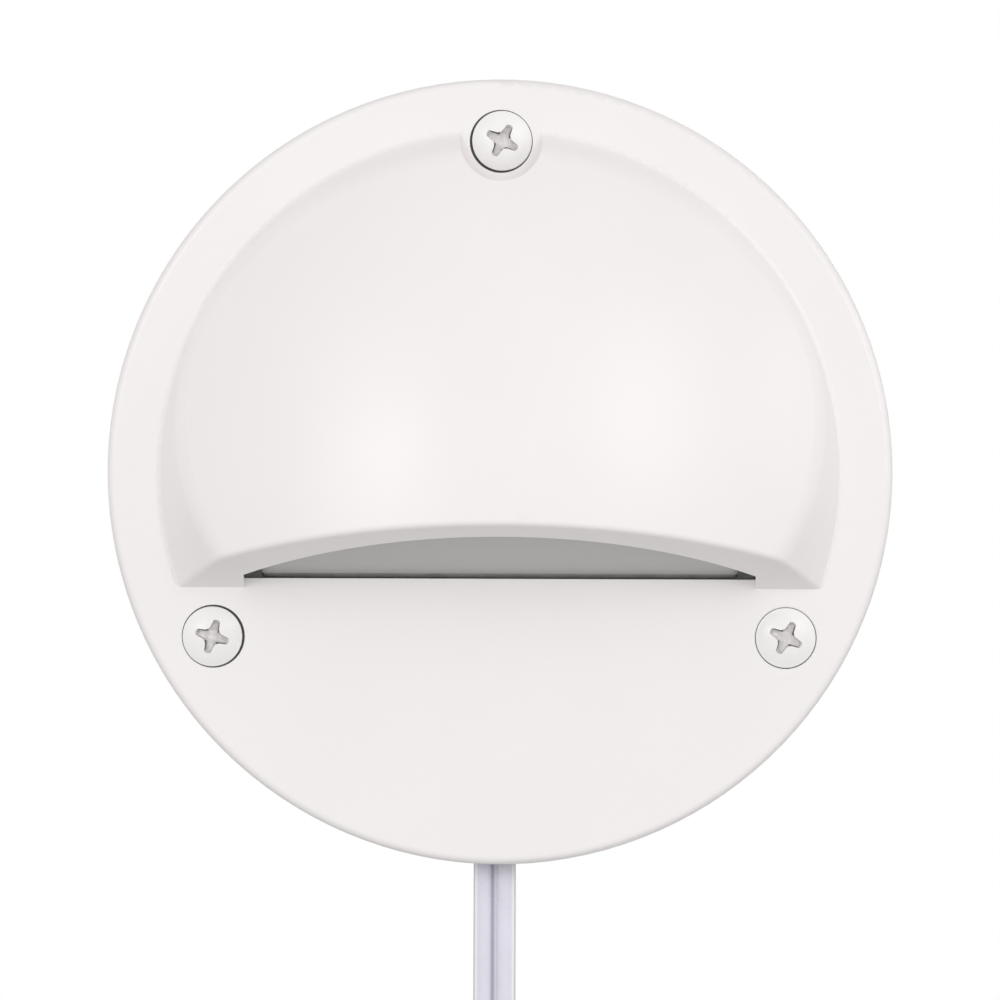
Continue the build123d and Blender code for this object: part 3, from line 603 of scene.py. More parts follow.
# Lens gasket: grey rubber with painted shade at its ends.
LENS_RUBBER = CornerShadedRubber("lens_rubber", (0.36, 0.355, 0.35), 0.55, drift=0.12, drift_size=3.0, grain=0.3)
RUBBER = Finish("black_rubber", (0.045, 0.045, 0.045), 0.6, drift=0.15, drift_size=3.0, grain=0.3)
SILICONE = Finish("grey_silicone", (0.36, 0.37, 0.39), 0.55, drift=0.05)
FOAM = Foam("black_foam", (0.035, 0.035, 0.038), 0.85, drift=0.2, drift_size=2.0)
CASTING = Finish(
    "blasted_casting", (0.60, 0.60, 0.61), 0.46, 1.0, drift=0.05, drift_size=2.4, grain=0.7, grain_depth=0.06
)
SHEET = Finish("mill_sheet", (0.72, 0.72, 0.73), 0.34, 1.0, drift=0.05, stretch=(14.0, 1.0, 1.0))
STEEL = Finish("plated_steel", (0.58, 0.58, 0.59), 0.28, 1.0, drift=0.06, drift_size=1.5)
WHITE_MASK = Finish("white_solder_mask", (0.84, 0.84, 0.82), 0.3, drift=0.02)
GREEN_MASK = Finish("green_solder_mask", (0.02, 0.16, 0.06), 0.32, drift=0.12, drift_size=2.5)
PHOSPHOR = Finish("led_phosphor", (0.86, 0.66, 0.16), 0.3, drift=0.04, drift_size=1.0)
PACKAGE = Finish("black_package", (0.022, 0.022, 0.024), 0.5, drift=0.2, drift_size=1.0)
CERAMIC = Finish("tan_ceramic", (0.42, 0.29, 0.16), 0.4, drift=0.06, drift_size=1.0)
NYLON = Finish("natural_nylon", (0.74, 0.73, 0.67), 0.38, drift=0.03, drift_size=4.0)
WIRE = Finish("white_wire", (0.82, 0.82, 0.80), 0.35, drift=0.02)
JACKET = Jacket("clear_jacket", (0.73, 0.715, 0.80), 0.28, drift=0.03, drift_size=5.0, grain=0.06)
COPPER = Finish("bare_copper", (0.72, 0.36, 0.20), 0.3, 1.0, drift=0.08, drift_size=1.0)

NODE_FINISHES: dict[str, Finish] = {
    "cover": WHITE_COAT,
    "lens": FROSTED,
    "lens_gasket": LENS_RUBBER,
    "back_plate": CASTING,
    "back_plate_screws": STEEL,
    "back_seal": SILICONE,
    "wall_gasket": FOAM,
    "led_bracket": SHEET,
    "bracket_screws": STEEL,
    "thermal_pad": SILICONE,
    "led_board": WHITE_MASK,
    "led_emitters": PHOSPHOR,
    "led_board_screws": STEEL,
    "driver_board": GREEN_MASK,
    "bridge_rectifier": PACKAGE,
    "power_inductor": PACKAGE,
    "regulator_chip": PACKAGE,
    "board_capacitors": CERAMIC,
    "board_resistors": PACKAGE,
    "inner_leads": JACKET,
    "link_wires": WIRE,
    "cord_clamp": NYLON,
    "clamp_screws": STEEL,
    "cord_grommet": RUBBER,
}


@dataclass
class FinishShelf:
    """Makes each finish once and hands it out."""

    made: dict[str, bpy.types.Material] = field(default_factory=dict)

    def get(self, finish: Finish) -> bpy.types.Material:
        """The finish's material, made at its first use."""
        if finish.name not in self.made:
            self.made[finish.name] = finish.make()
        return self.made[finish.name]

    def dress(self, piece: bpy.types.Object, finish: Finish) -> None:
        """Gives a piece one finish all over.

        Args:
            piece: Mesh to dress.
            finish: Its finish.
        """
        material = self.get(finish)
        if piece.material_slots:
            piece.material_slots[0].material = material
        else:
            piece.data.materials.append(material)

    def dress_part(self, piece: bpy.types.Object, finish: Finish, test: Callable[[Vector], bool]) -> None:
        """Gives the faces whose middles pass a test another finish.

        Args:
            piece: Mesh that is dressed already.
            finish: Finish of those faces.
            test: Takes a face's middle in metres.
        """
        piece.data.materials.append(self.get(finish))
        for face in piece.data.polygons:
            if test(face.center):
                face.material_index = len(piece.material_slots) - 1


@dataclass
class MountingScrews:
    """The three oval-head screws, with their cross recesses and threads."""

    circle: float = 74.8
    face_y: float = -10.0
    head_radius: float = 3.41
    head_rise: float = 0.9
    head_sink: float = 0.15
    edge_radius: float = 0.14
    shank_radius: float = 1.45
    thread_radius: float = 1.75
    root_radius: float = 1.22
    thread_pitch: float = 1.4
    thread_start: float = -1.5
    reach: float = 19.0
    tip: float = 4.5
    recess_span: float = 4.2
    recess_waist: float = 1.06
    recess_wing: float = 0.40
    recess_depth: float = 0.9
    recess_shrink: float = 0.75
    recess_point: float = 1.05
    flank_points: int = 9
    fit: float = 0.05
    # Radii and side of the wing walls that take dark painted shade.
    wall_shade_span: tuple[float, float] = (0.75, 1.6)
    wall_shade_side: float = -3.0
    crown_steps: int = 16
    edge_steps: int = 6
    edge_turn: float = 135.0
    neck: float = 0.4
    steps_per_thread: int = 12
    run_in_steps: int = 8
    tip_power: float = 0.6
    thread_half: float = 0.34
    thread_power: float = 0.8
    soft_edge: float = 38.0
    columns: int = 72
    angles: tuple[float, ...] = (90.0, 210.0, 330.0)
    names: tuple[str, ...] = ("screw_top", "screw_left", "screw_right")
    shifts: tuple[tuple[float, float], ...] = ((0.11, 0.08), (-0.12, -0.03), (0.0, 0.02))
    turns: tuple[float, ...] = (-28.0, -17.0, -26.0)

    def profile(self) -> list[tuple[float, float, float]]:
        """Rings from the head's crown to the tip, as radius, depth and thread height."""
        rise = self.head_rise
        crown = (self.head_radius**2 + rise**2) / (2 * rise)
        top = self.face_y + self.head_sink - rise
        rings = []
        flat = self.head_radius - self.edge_radius
        for i in range(self.crown_steps + 1):
            radius = flat * i / self.crown_steps
            rings.append((radius, top + crown - math.sqrt(crown**2 - radius**2), 0.0))
        edge_y = rings[-1][1]
        for i in range(1, self.edge_steps + 1):
            turn = math.radians(i * self.edge_turn / self.edge_steps)
            radius = flat + self.edge_radius * math.sin(turn)
            rings.append((radius, edge_y + self.edge_radius * (1 - math.cos(turn)), 0.0))
        radius, depth, _ = rings[-1]
        rings.append((self.shank_radius, depth + radius - self.shank_radius, 0.0))
        rings.append((self.shank_radius, self.thread_start - self.neck, 0.0))
        rings.append((self.root_radius, self.thread_start, 0.0))
        steps = round((self.reach - self.thread_start) / self.thread_pitch * self.steps_per_thread)
        for i in range(1, steps + 1):
            depth = self.thread_start + (self.reach - self.thread_start) * i / steps
            taper = min(1.0, (self.reach - depth) / self.tip)
            thread = min(1.0, i / self.run_in_steps) * taper**self.tip_power
            rings.append((self.root_radius * taper, depth, thread))
        return rings

    def recess(self, x: float, z: float, turn: float) -> bpy.types.Object:
        """Cutter of the cross recess: a four-pointed star that narrows inwards.

        Args:
            x: Middle of the screw.
            z: Middle of the screw.
            turn: Turn of the cross in degrees.

        Returns:
            The closed cutter.
        """
        rim = []
        tip = self.recess_span / 2
        spread = math.degrees(math.atan2(self.recess_wing, tip))
        for wing in range(4):
            base = 90 * wing + turn
            rim.append((math.radians(base), tip * self.recess_point))
            for i in range(self.flank_points):
                share = i / (self.flank_points - 1)
                bow = abs(2 * share - 1) ** 3
                angle = base + spread + (90 - 2 * spread) * share
                rim.append((math.radians(angle), self.recess_waist + (tip - self.recess_waist) * bow))
        clear_bench()
        bpy.ops.mesh.primitive_circle_add(vertices=len(rim), radius=1, fill_type="NGON")
        tool = bpy.context.object
        front = self.face_y - 2 * self.head_rise
        for vertex, (angle, radius) in zip(tool.data.vertices, rim):
            vertex.co = mm(x + radius * math.cos(angle), front, z + radius * math.sin(angle))
        depth = self.head_sink + self.recess_depth
        bpy.ops.object.mode_set(mode="EDIT")
        bpy.ops.mesh.select_all(action="SELECT")
        travel = mm(0, self.head_rise, 0)
        bpy.ops.mesh.extrude_region_move(TRANSFORM_OT_translate={"value": travel})
        bpy.ops.mesh.extrude_region_move(TRANSFORM_OT_translate={"value": mm(0, depth, 0)})
        shrink = self.recess_shrink
        centre = mm(x, front + self.head_rise + depth, z)
        bpy.ops.transform.resize(value=(shrink, 1, shrink), center_override=centre)
        bpy.ops.mesh.select_all(action="SELECT")
        bpy.ops.mesh.normals_make_consistent(inside=False)
        bpy.ops.object.mode_set(mode="OBJECT")
        return tool

    def screw(self, name: str, x: float, z: float, turn: float) -> bpy.types.Object:
        """One screw.

        Args:
            name: Name of the piece.
            x: Middle of the head.
            z: Middle of the head.
            turn: Turn of its cross in degrees.

        Returns:
            The finished mesh.
        """
        rings = self.profile()
        height = self.thread_radius - self.root_radius

        def place(across: float, along: float) -> Vector:
            """Point of the screw's skin."""
            radius, depth, thread = rings[round(along * (len(rings) - 1))]
            if thread:
                phase = (depth / self.thread_pitch - across) % 1
                ridge = max(0.0, 1 - abs(phase - 0.5) / self.thread_half)
                radius += thread * height * ridge**self.thread_power
            angle = 2 * math.pi * across
            return mm(x + radius * math.cos(angle), depth, z + radius * math.sin(angle))

        piece = skin(name, self.columns, len(rings) - 1, place)
        cut(piece, self.recess(x, z, turn))
        smooth(piece, self.soft_edge)
        return piece

    def dress(self, piece: bpy.types.Object, x: float, z: float, turn: float, shelf: FinishShelf) -> None:
        """Paints the head, gives its recess a greyer painted shade and one wall of each wing a dark painted
        shade, and leaves its cone and thread dark zinc, which also shows as shade in the gap round the head.

        Args:
            piece: The screw.
            x: Middle of the head.
            z: Middle of the head.
            turn: Turn of its cross in degrees.
            shelf: Where the finishes come from.
        """
        crown = (self.head_radius**2 + self.head_rise**2) / (2 * self.head_rise)
        top = self.face_y + self.head_sink - self.head_rise

        def sunk(place: Vector) -> float:
            """How far a place lies behind the head's crown, in millimetres."""
            radius = math.hypot(place.x / MM - x, place.z / MM - z)
            return place.y / MM - top - crown + math.sqrt(crown**2 - min(radius, self.head_radius) ** 2)

        def arm_side(place: Vector) -> float:
            """Degrees from the nearest wing's middle, below 0 on one side of it."""
            angle = math.degrees(math.atan2(place.z / MM - z, place.x / MM - x)) - turn
            return (angle + 45) % 90 - 45

        edge = self.face_y + self.head_sink + self.edge_radius
        floor = self.face_y + self.head_sink + self.fit

        def in_recess(place: Vector) -> bool:
            """Tells whether a place is inside the cross."""
            radius = math.hypot(place.x / MM - x, place.z / MM - z)
            return sunk(place) > self.fit and place.y / MM < floor and radius < self.recess_span / 2

        def shaded_wall(place: Vector) -> bool:
            """Tells whether a place is on the wall of a wing that takes the dark painted shade."""
            radius = math.hypot(place.x / MM - x, place.z / MM - z)
            on_wall = self.wall_shade_span[0] < radius < self.wall_shade_span[1] and arm_side(place) < self.wall_shade_side
            return in_recess(place) and on_wall

        def zinc_and_wall_shade(place: Vector) -> bool:
            """Tells whether a place is a shaded wing wall, or behind the head's edge where the dark zinc also
            stands for shade in the gap.
            """
            return shaded_wall(place) or (place.y / MM > edge and not in_recess(place))

        # Painted shade: greyer in the recess, dark on one wall of each wing and on the head's side seen in
        # the gap.
        shelf.dress(piece, SCREW_PAINT)
        shelf.dress_part(piece, RECESS_SHADE, in_recess)
        shelf.dress_part(piece, BLACK_ZINC_AND_SHADE, zinc_and_wall_shade)

    def build(self, shelf: FinishShelf) -> list[bpy.types.Object]:
        """Makes the screws, each a little off the middle of its hole.

        Args:
            shelf: Where the finishes come from.

        Returns:
            The three pieces.
        """
        pieces = []
        for name, angle, shift, turn in zip(self.names, self.angles, self.shifts, self.turns):
            x = self.circle / 2 * math.cos(math.radians(angle)) + shift[0]
            z = self.circle / 2 * math.sin(math.radians(angle)) + shift[1]
            piece = self.screw(name, x, z, turn)
            self.dress(piece, x, z, turn, shelf)
            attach(piece, BODY)
            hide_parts("mounting_screws")
            pieces.append(piece)
        return pieces


@dataclass
class Lead:
    """The flat two-core lead: its hanging run, quarter twist and coil."""

    x: float = -0.45
    y: float = -4.7
    rim_z: float = -44.45
    width: float = 4.8
    thickness: float = 2.4
    web: float = 1.3
    twist_top: float = -64.0
    twist_end: float = -90.0
    coil_x: float = 0.88
    coil_z: float = -146.48
    coil_radius: float = 33.0
    coil_gap: float = 0.5
    coil_turns: float = 4.5
    points_per_turn: int = 16
    hang: tuple[tuple[float, float], ...] = (
        (-0.45, -33.5),
        (-0.45, -72.0),
        (-0.45, -93.0),
        (-1.3, -101.8),
        (-4.4, -109.0),
        (-9.9, -115.3),
        (-17.0, -119.0),
        (-23.5, -124.6),
        (-29.0, -133.2),
    )
    tail: tuple[tuple[float, float], ...] = (
        (19.4, -143.5),
        (16.7, -138.3),
        (11.9, -135.0),
        (6.0, -134.2),
        (1.4, -135.9),
        (-1.23, -136.85),
    )
    lobe_points: int = 23
    steps: int = 16
    # Painted shade in the groove, a little off its middle, and where the painted side light and dark edge
    # line start across the lead; coil_sides is the share of side bands kept on edge.
    groove_middle: float = -0.22
    groove_reach: float = 0.42
    side_start: float = 1.90
    side_fade: float = 0.15
    line_start: float = 2.25
    line_fade: float = 0.08
    coil_sides: float = 0.2
    soft_edge: float = 30.0

    @property
    def lobe(self) -> float:
        """Radius of one lobe."""
        return self.thickness / 2

    def route(self) -> list[Vector]:
        """Control points of the whole lead: listed runs, with the coil's turns between them."""
        pitch = self.thickness + self.coil_gap
        stretch = 1 / math.cos(math.pi / self.points_per_turn)
        middle = self.coil_x - pitch / 4
        coil = []
        for i in range(round(self.coil_turns * self.points_per_turn) + 1):
            turns = i / self.points_per_turn
            radius = (self.coil_radius - pitch / 4 - pitch * turns) * stretch
            angle = math.pi + 2 * math.pi * turns
            coil.append((middle + radius * math.cos(angle), self.coil_z + radius * math.sin(angle)))
        return [mm(x, self.y, z) for x, z in (*self.hang, *coil, *self.tail)]

    def section(self) -> list[tuple[float, float]]:
        """Points round the lead, as across and through."""
        joint = math.pi - math.asin(self.web / self.thickness)
        middle = self.width / 2 - self.lobe
        points = []
        for side in (1, -1):
            for i in range(self.lobe_points):
                angle = joint * (2 * i / (self.lobe_points - 1) - 1)
                across = middle + self.lobe * math.cos(angle)
                points.append((side * across, side * self.lobe * math.sin(angle)))
        return points

    def twisted(self, point: Vector) -> float:
        """Share of the quarter twist that lies above a point."""
        share = (self.twist_top - point.z / MM) / (self.twist_top - self.twist_end)
        return min(1.0, max(0.0, share))

    def bands(self, across: float, twisted: float) -> dict[str, float]:
        """Shares of the jacket's painted light and shade bands, whose side bands fade once the lead turns on
        edge.

        Args:
            across: Distance from the lead's middle in millimetres.
            twisted: Share of the twist behind this place.

        Returns:
            The share of each band by its name.
        """
        side = abs(across)
        # Share of the painted side bands that stays down the twist.
        clear = 1 - (1 - self.coil_sides) * twisted
        return {
            "groove_shade": max(0.0, 1 - abs(across - self.groove_middle) / self.groove_reach),
            "painted_see_through_light": clear * min(1.0, max(0.0, (side - self.side_start) / self.side_fade)),
            "painted_edge_shade": clear * min(1.0, max(0.0, (side - self.line_start) / self.line_fade)),
        }

    def wide(self, point: Vector) -> Vector:
        """Direction of the lead's wide side, which turns from X to Y down the twist."""
        turn = math.pi / 2 * self.twisted(point)
        return Vector((math.cos(turn), math.sin(turn), 0))

    def tube(self, points: list[Vector]) -> bpy.types.Object:
        """The jacket, swept along the spline's points.

        Args:
            points: The lead's centreline.

        Returns:
            The mesh, with the shares of its bands kept as attributes.
        """
        section = self.section()
        last = len(points) - 1
        rings = []
        for i, point in enumerate(points):
            ahead = (points[min(i + 1, last)] - points[max(i - 1, 0)]).normalized()
            wide = self.wide(point)
            wide = (wide - ahead * wide.dot(ahead)).normalized()
            through = ahead.cross(wide)
            rings.append([point + wide * (a * MM) + through * (t * MM) for a, t in section])
        piece = sweep("lead", rings)
        shares = [self.bands(across, self.twisted(point)) for point in points for across, _ in section]
        for name in shares[0]:
            attribute = piece.data.attributes.new(name, "FLOAT", "POINT")
            attribute.data.foreach_set("value", [share[name] for share in shares])
        smooth(piece, self.soft_edge)
        return piece

    def build(self, shelf: FinishShelf) -> list[bpy.types.Object]:
        """Args:
            shelf: Where the finishes come from.

        Returns:
            The lead's pieces.
        """
        points = spline_points(self.route(), self.steps)
        lead = self.tube(points)
        shelf.dress(lead, JACKET)
        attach(lead, BODY)
        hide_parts("lead_drop", "lead_twist", "lead_coil")
        others = [*CoilTie().build(shelf), *StrippedEnds().build(shelf)]
        length = sum((b - a).length for a, b in zip(points, points[1:]))
        mm(self.x, self.y, self.rim_z)
        return [lead, *others]


@dataclass
class CoilTie:
    """The nylon tie round the coil: its band, ratchet head and cut-off tail."""

    coil_x: float = 0.88
    coil_y: float = -4.7
    coil_z: float = -146.48
    angle: float = 150.0
    radius: float = 27.2
    room: tuple[float, float] = (14.6, 5.4)
    band_t: float = 1.0
    band_width: float = 3.0
    corner: float = 1.3
    corner_steps: int = 8
    edge: float = 0.25
    head: tuple[float, float, float] = (4.6, 4.6, 3.0)
    head_edge: float = 0.35
    slot_wall: float = 0.75
    slot_depth: float = 1.0
    tail: tuple[float, float, float] = (3.4, 2.5, 0.9)
    tail_lift: float = 0.3
    tail_grip: float = 0.6

    @property
    def axes(self) -> tuple[Vector, Vector]:
        """Directions across the coil's turns and along them."""
        turn = math.radians(self.angle)
        return Vector((math.cos(turn), 0, math.sin(turn))), Vector((-math.sin(turn), 0, math.cos(turn)))

    @property
    def middle(self) -> Vector:
        """Middle of the tied turns, in metres."""
        return mm(self.coil_x, self.coil_y, self.coil_z) + self.axes[0] * (self.radius * MM)

    def band(self) -> bpy.types.Object:
        """The band, a rounded loop of rectangular section."""
        across, along = self.axes
        half = [(size + self.band_t) / 2 - self.corner for size in self.room]
        flat, edge = self.band_width / 2, self.band_t / 2
        low, short = edge - self.edge, flat - self.edge
        section = [
            (flat, -low),
            (flat, low),
            (short, edge),
            (-short, edge),
            (-flat, low),
            (-flat, -low),
            (-short, -edge),
            (short, -edge),
        ]
        rings = []
        for quarter, (su, sy) in enumerate(((1, 1), (-1, 1), (-1, -1), (1, -1))):
            for i in range(self.corner_steps + 1):
                turn = math.radians(90 * (quarter + i / self.corner_steps))
                out = across * math.cos(turn) + Vector((0, math.sin(turn), 0))
                base = self.middle + (across * (su * half[0]) + Vector((0, sy * half[1], 0))) * MM
                rings.append([base + (out * (self.corner + t) + along * w) * MM for w, t in section])
        piece = sweep("tie_band", rings, closed=True)
        smooth(piece, SOFT_EDGE)
        return piece

    def block(
        self, name: str, size: tuple[float, float, float], shift: tuple[float, float]
    ) -> bpy.types.Object:
        """Block in front of the band, turned with the tie.

        Args:
            name: Name of the piece.
            size: Across the turns, along them and out of the tie.
            shift: Its middle across the turns and out of the tie.

        Returns:
            The plain block, with sharp edges.
        """
        across, along = self.axes
        clear_bench()
        bpy.ops.mesh.primitive_cube_add(size=1)
        piece = bpy.context.object
        piece.name = name
        middle = self.middle + (across * shift[0] + Vector((0, -shift[1], 0))) * MM
        for vertex in piece.data.vertices:
            u, v, w = (c * s for c, s in zip(vertex.co, size))
            vertex.co = middle + (across * u + along * v + Vector((0, -w, 0))) * MM
        close_seams(piece)
        return piece

    def ratchet(self) -> bpy.types.Object:
        """The head, with the window that its tooth sits in."""
        out = self.room[1] / 2 + self.band_t / 2 + self.head[2] / 2
        piece = self.block("tie_head", self.head, (0.0, out))
        take_up(piece)
        for face in piece.data.polygons:
            face.select = face.normal.y < -0.9
        bpy.ops.object.mode_set(mode="EDIT")
        bpy.ops.mesh.select_mode(type="FACE")
        bpy.ops.mesh.inset(thickness=self.slot_wall * MM)
        bpy.ops.mesh.extrude_region_move(TRANSFORM_OT_translate={"value": mm(0, self.slot_depth, 0)})
        bpy.ops.object.mode_set(mode="OBJECT")
        round_edges(piece, self.head_edge, 3)
        return piece

    def stub(self) -> bpy.types.Object:
        """The band's end, cut off where it leaves the head."""
        length, _, thick = self.tail
        out = self.room[1] / 2 + self.band_t + thick / 2 + self.tail_lift
        piece = self.block("tie_tail", self.tail, (self.head[0] / 2 + length / 2 - self.tail_grip, out))
        round_edges(piece, self.edge, 2)
        return piece

    def build(self, shelf: FinishShelf) -> list[bpy.types.Object]:
        """Makes the tie.

        Args:
            shelf: Where the finishes come from.

        Returns:
            Its pieces.
        """
        pieces = [self.band(), self.ratchet(), self.stub()]
        for piece in pieces:
            shelf.dress(piece, NYLON)
            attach(piece, BODY)
            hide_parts("coil_tie")
        return pieces


@dataclass
class StrippedEnds:
    """The lead's two cores, split at its end, with their twisted copper strands."""

    start: tuple[float, float] = (-1.23, -136.85)
    heading: tuple[float, float] = (-0.940, -0.342)
    y: float = -4.7
    core_radius: float = 1.15
    core_route: tuple[tuple[float, float], ...] = ((-0.4, 1.2), (2.0, 1.22), (5.0, 1.62), (8.0, 1.7))
    strand_route: tuple[tuple[float, float], ...] = ((7.2, 1.7), (10.0, 1.7), (13.5, 1.7))
    strand_radius: float = 0.165
    strand_ring: float = 0.335
    strand_lay: float = 8.0
    core_columns: int = 24
    strand_columns: int = 10
    outer_strands: int = 6
    steps: int = 8

    def path(self, route: tuple[tuple[float, float], ...], side: int) -> list[Vector]:
        """Smooth line of one core.

        Args:
            route: Distances along the lead's heading and out from its middle.
            side: 1 for the core behind, -1 for the one in front.

        Returns:
            Points of the line in metres.
        """
        x, z = self.start
        run_x, run_z = self.heading
        places = [mm(x + run_x * d, self.y + side * out, z + run_z * d) for d, out in route]
        return spline_points(places, self.steps)

    def rings(
        self, points: list[Vector], radius: float, columns: int, offset: float = 0.0, phase: float = 0.0
    ) -> list[list[Vector]]:
        """Rings round a line, or round a strand that winds about it.

        Args:
            points: The line.
            radius: Radius of the rings.
            columns: Points in each ring.
            offset: How far the strand lies from the line.
            phase: Where round the line it starts, in turns.

        Returns:
            The rings' points.
        """
        up = Vector((0, 1, 0))
        side = Vector((self.heading[1], 0, -self.heading[0]))
        rings = []
        for point in points:
            run = (point - points[0]).length / MM
            turn = 2 * math.pi * (phase + run / self.strand_lay)
            middle = point + (up * math.cos(turn) + side * math.sin(turn)) * (offset * MM)
            angles = [2 * math.pi * j / columns for j in range(columns)]
            rings.append([middle + (up * math.cos(a) + side * math.sin(a)) * (radius * MM) for a in angles])
        return rings

    def strands(self, name: str, side: int) -> bpy.types.Object:
        """Strands of one core, six round a middle one, joined as one piece.

        Args:
            name: Name of the piece.
            side: Which core.

        Returns:
            The mesh.
        """
        line = self.path(self.strand_route, side)
        lays = [(0.0, 0.0)] + [(self.strand_ring, i / self.outer_strands) for i in range(self.outer_strands)]
        parts = [
            sweep(f"{name}_{i}", self.rings(line, self.strand_radius, self.strand_columns, offset, phase))
            for i, (offset, phase) in enumerate(lays)
        ]
        clear_bench()
        for part in parts:
            part.select_set(True)
        bpy.context.view_layer.objects.active = parts[0]
        bpy.ops.object.join()
        piece = bpy.context.object
        piece.name = name
        smooth(piece, SOFT_EDGE)
        return piece

    def build(self, shelf: FinishShelf) -> list[bpy.types.Object]:
        """Makes the cores and their strands.

        Args:
            shelf: Where the finishes come from.

        Returns:
            The pieces.
        """
        pieces = []
        for side, place in ((1, "rear"), (-1, "front")):
            line = self.path(self.core_route, side)
            core = sweep(f"core_{place}", self.rings(line, self.core_radius, self.core_columns))
            smooth(core, SOFT_EDGE)
            shelf.dress(core, JACKET)
            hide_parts("lead_ends")
            copper = self.strands(f"strands_{place}", side)
            shelf.dress(copper, COPPER)
            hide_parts("wire_tips")
            pieces += [core, copper]
        for piece in pieces:
            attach(piece, BODY)
        return pieces


@dataclass
class SoftBox:
    """A square studio lamp, placed round the light by its bearing and height in degrees.

    Its power is in watts, and its side and distance are metres.
    """

    name: str
    bearing: float
    height: float
    power: float
    side: float = 0.3
    distance: float = 1.0

    def place(self, aim: Vector) -> None:
        """Hangs the lamp and turns it to the light.

        Args:
            aim: Point that it shines at.
        """
        lamp = bpy.data.lights.new(self.name, "AREA")
        lamp.size = self.side
        lamp.energy = self.power
        holder = bpy.data.objects.new(self.name, lamp)
        bearing, height = math.radians(self.bearing), math.radians(self.height)
        level = math.cos(height)
        out = Vector((math.sin(bearing) * level, -math.cos(bearing) * level, math.sin(height)))
        holder.location = aim + out * self.distance
        holder.rotation_euler = out.to_track_quat("Z", "Y").to_euler()
        bpy.context.scene.collection.objects.link(holder)


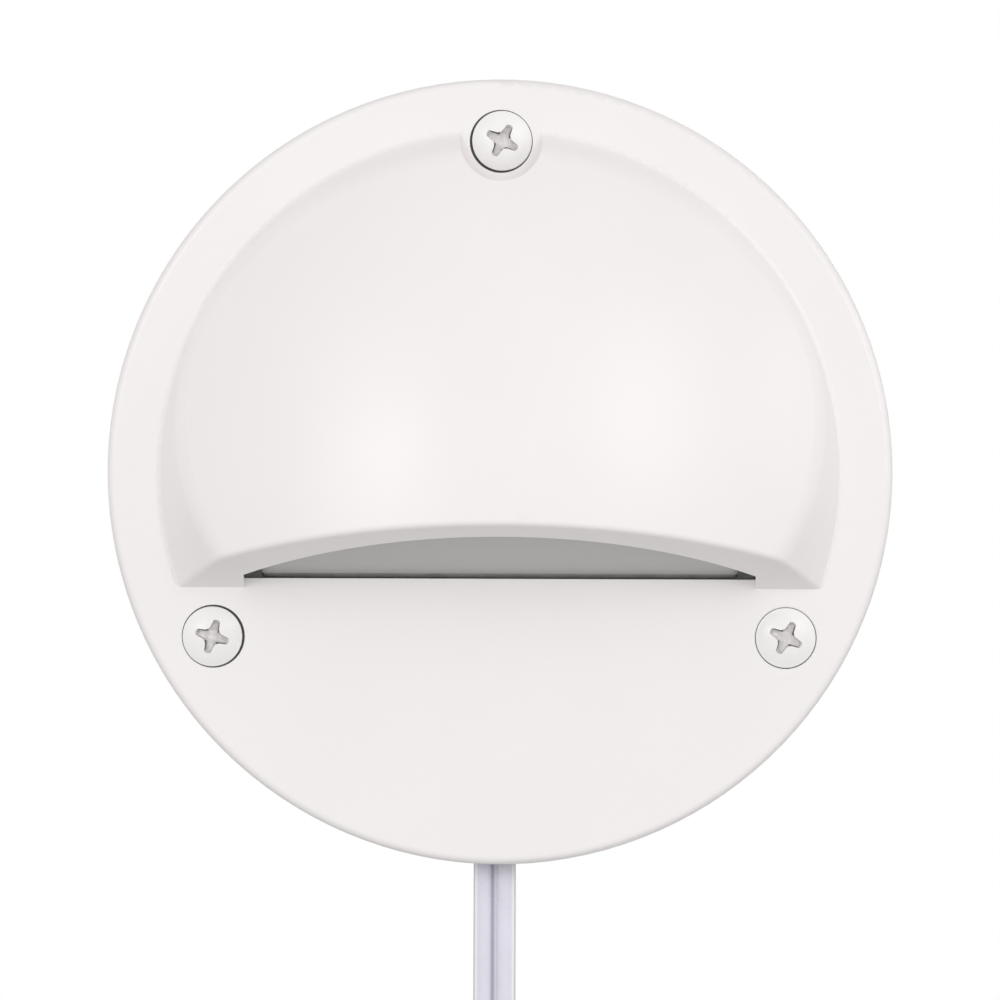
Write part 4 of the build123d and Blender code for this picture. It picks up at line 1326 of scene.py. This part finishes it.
@dataclass
class Studio:
    """Floor, lamps, white surround and camera."""

    face_y: float = -10.0
    view_width: float = 113.15
    camera_roll: float = -0.2
    middle_z: float = -3.18
    camera_distance: float = 900.0
    sensor: float = 36.0
    floor_gap: float = 4.0
    floor_radius: float = 1500.0
    floor_sides: int = 96
    floor_colour: tuple[float, float, float] = (0.80, 0.80, 0.80)
    surround: float = 0.19
    gains: tuple[tuple[float, float, float], ...] = (
        (0.0, -0.86, 0.0),
        (0.0, 0.45, 0.0),
    )
    boxes: tuple[SoftBox, ...] = (
        SoftBox("left_box", -27.5, 14.0, 1.28),
        SoftBox("right_box", 33.0, 21.0, 1.07),
        SoftBox("right_side_box", 70.0, 19.0, 0.6),
        SoftBox("left_wing_box", -80.0, 5.0, 1.79, side=1.28, distance=1.6),
        SoftBox("right_wing_box", 80.0, 8.0, 1.70, side=1.28, distance=1.6),
        SoftBox("left_rear_box", -100.0, 3.0, 1.08, side=0.8, distance=1.6),
        SoftBox("right_rear_box", 100.0, 6.0, 1.08, side=0.8, distance=1.6),
        SoftBox("top_box", 0.0, 80.0, 0.25),
    )

    def camera(self) -> None:
        """Sets the camera square in front, leaning a little, as far off as the picture's even perspective."""
        camera = bpy.data.cameras.new("camera")
        camera.sensor_width = self.sensor
        camera.lens = self.sensor * self.camera_distance / self.view_width
        camera.clip_end = 10
        holder = bpy.data.objects.new("camera", camera)
        holder.location = mm(0, self.face_y - self.camera_distance, self.middle_z)
        holder.rotation_euler = (math.radians(90), math.radians(self.camera_roll), 0)
        bpy.context.scene.collection.objects.link(holder)
        bpy.context.scene.camera = holder

    def world(self) -> None:
        """White to the eye and in reflections, softer as light."""
        world = bpy.data.worlds.new("surround")
        world.use_nodes = True
        bpy.context.scene.world = world
        tree = world.node_tree
        path = tree.nodes.new("ShaderNodeLightPath")
        seen = path.outputs["Is Camera Ray"]
        for ray in ("Is Glossy Ray", "Is Transmission Ray"):
            either = tree.nodes.new("ShaderNodeMath")
            either.operation = "MAXIMUM"
            tree.links.new(seen, either.inputs[0])
            tree.links.new(path.outputs[ray], either.inputs[1])
            seen = either.outputs[0]
        soft = tree.nodes["Background"]
        soft.inputs["Color"].default_value = (1, 1, 1, 1)
        towards = tree.nodes.new("ShaderNodeTexCoord").outputs["Generated"]
        total = None
        for gain in self.gains:
            facing = tree.nodes.new("ShaderNodeVectorMath")
            facing.operation = "DOT_PRODUCT"
            facing.inputs[1].default_value = gain
            tree.links.new(towards, facing.inputs[0])
            kept = tree.nodes.new("ShaderNodeMath")
            kept.operation = "MAXIMUM"
            kept.inputs[1].default_value = 0
            tree.links.new(facing.outputs["Value"], kept.inputs[0])
            level = tree.nodes.new("ShaderNodeMath")
            level.inputs[1].default_value = self.surround
            if total is not None:
                tree.links.new(total, level.inputs[1])
            tree.links.new(kept.outputs[0], level.inputs[0])
            total = level.outputs[0]
        tree.links.new(total, soft.inputs["Strength"])
        white = tree.nodes.new("ShaderNodeBackground")
        white.inputs["Color"].default_value = (1, 1, 1, 1)
        mixed = tree.nodes.new("ShaderNodeMixShader")
        tree.links.new(seen, mixed.inputs[0])
        tree.links.new(soft.outputs[0], mixed.inputs[1])
        tree.links.new(white.outputs[0], mixed.inputs[2])
        tree.links.new(mixed.outputs[0], tree.nodes["World Output"].inputs["Surface"])

    def floor(self) -> None:
        """Pale round floor under everything that hangs."""
        clear_bench()
        level = cad_box[0].z - self.floor_gap * MM
        bpy.ops.mesh.primitive_circle_add(
            vertices=self.floor_sides, radius=self.floor_radius * MM, fill_type="NGON", location=(0, 0, level)
        )
        floor = bpy.context.object
        floor.name = "floor"
        finish = Paper("studio_floor", self.floor_colour, 0.7, drift=0.01, drift_size=120.0, grain=0.02)
        floor.data.materials.append(finish.make())

    def build(self) -> None:
        """Sets up the studio."""
        bpy.context.scene.view_settings.view_transform = "Standard"
        self.camera()
        self.world()
        self.floor()
        for box in self.boxes:
            box.place(mm(0, self.face_y, 0))


def dress_nodes(shelf: FinishShelf) -> None:
    """Gives the CAD nodes that keep their shape their finish.

    Args:
        shelf: Where the finishes come from.
    """
    for node, finish in NODE_FINISHES.items():
        shelf.dress(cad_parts[node], finish)
        log.info("finish %s on %s", finish.name, node)


def main() -> None:
    """Builds the studio and the light's pieces in order."""
    logging.basicConfig(level=logging.INFO)
    shelf = FinishShelf()
    Studio().build()
    dress_nodes(shelf)
    for assembly in (Lead(), MountingScrews()):
        for piece in assembly.build(shelf):
            log.info("made %s with %d faces", piece.name, len(piece.data.polygons))


if __name__ == "__main__":
    main()
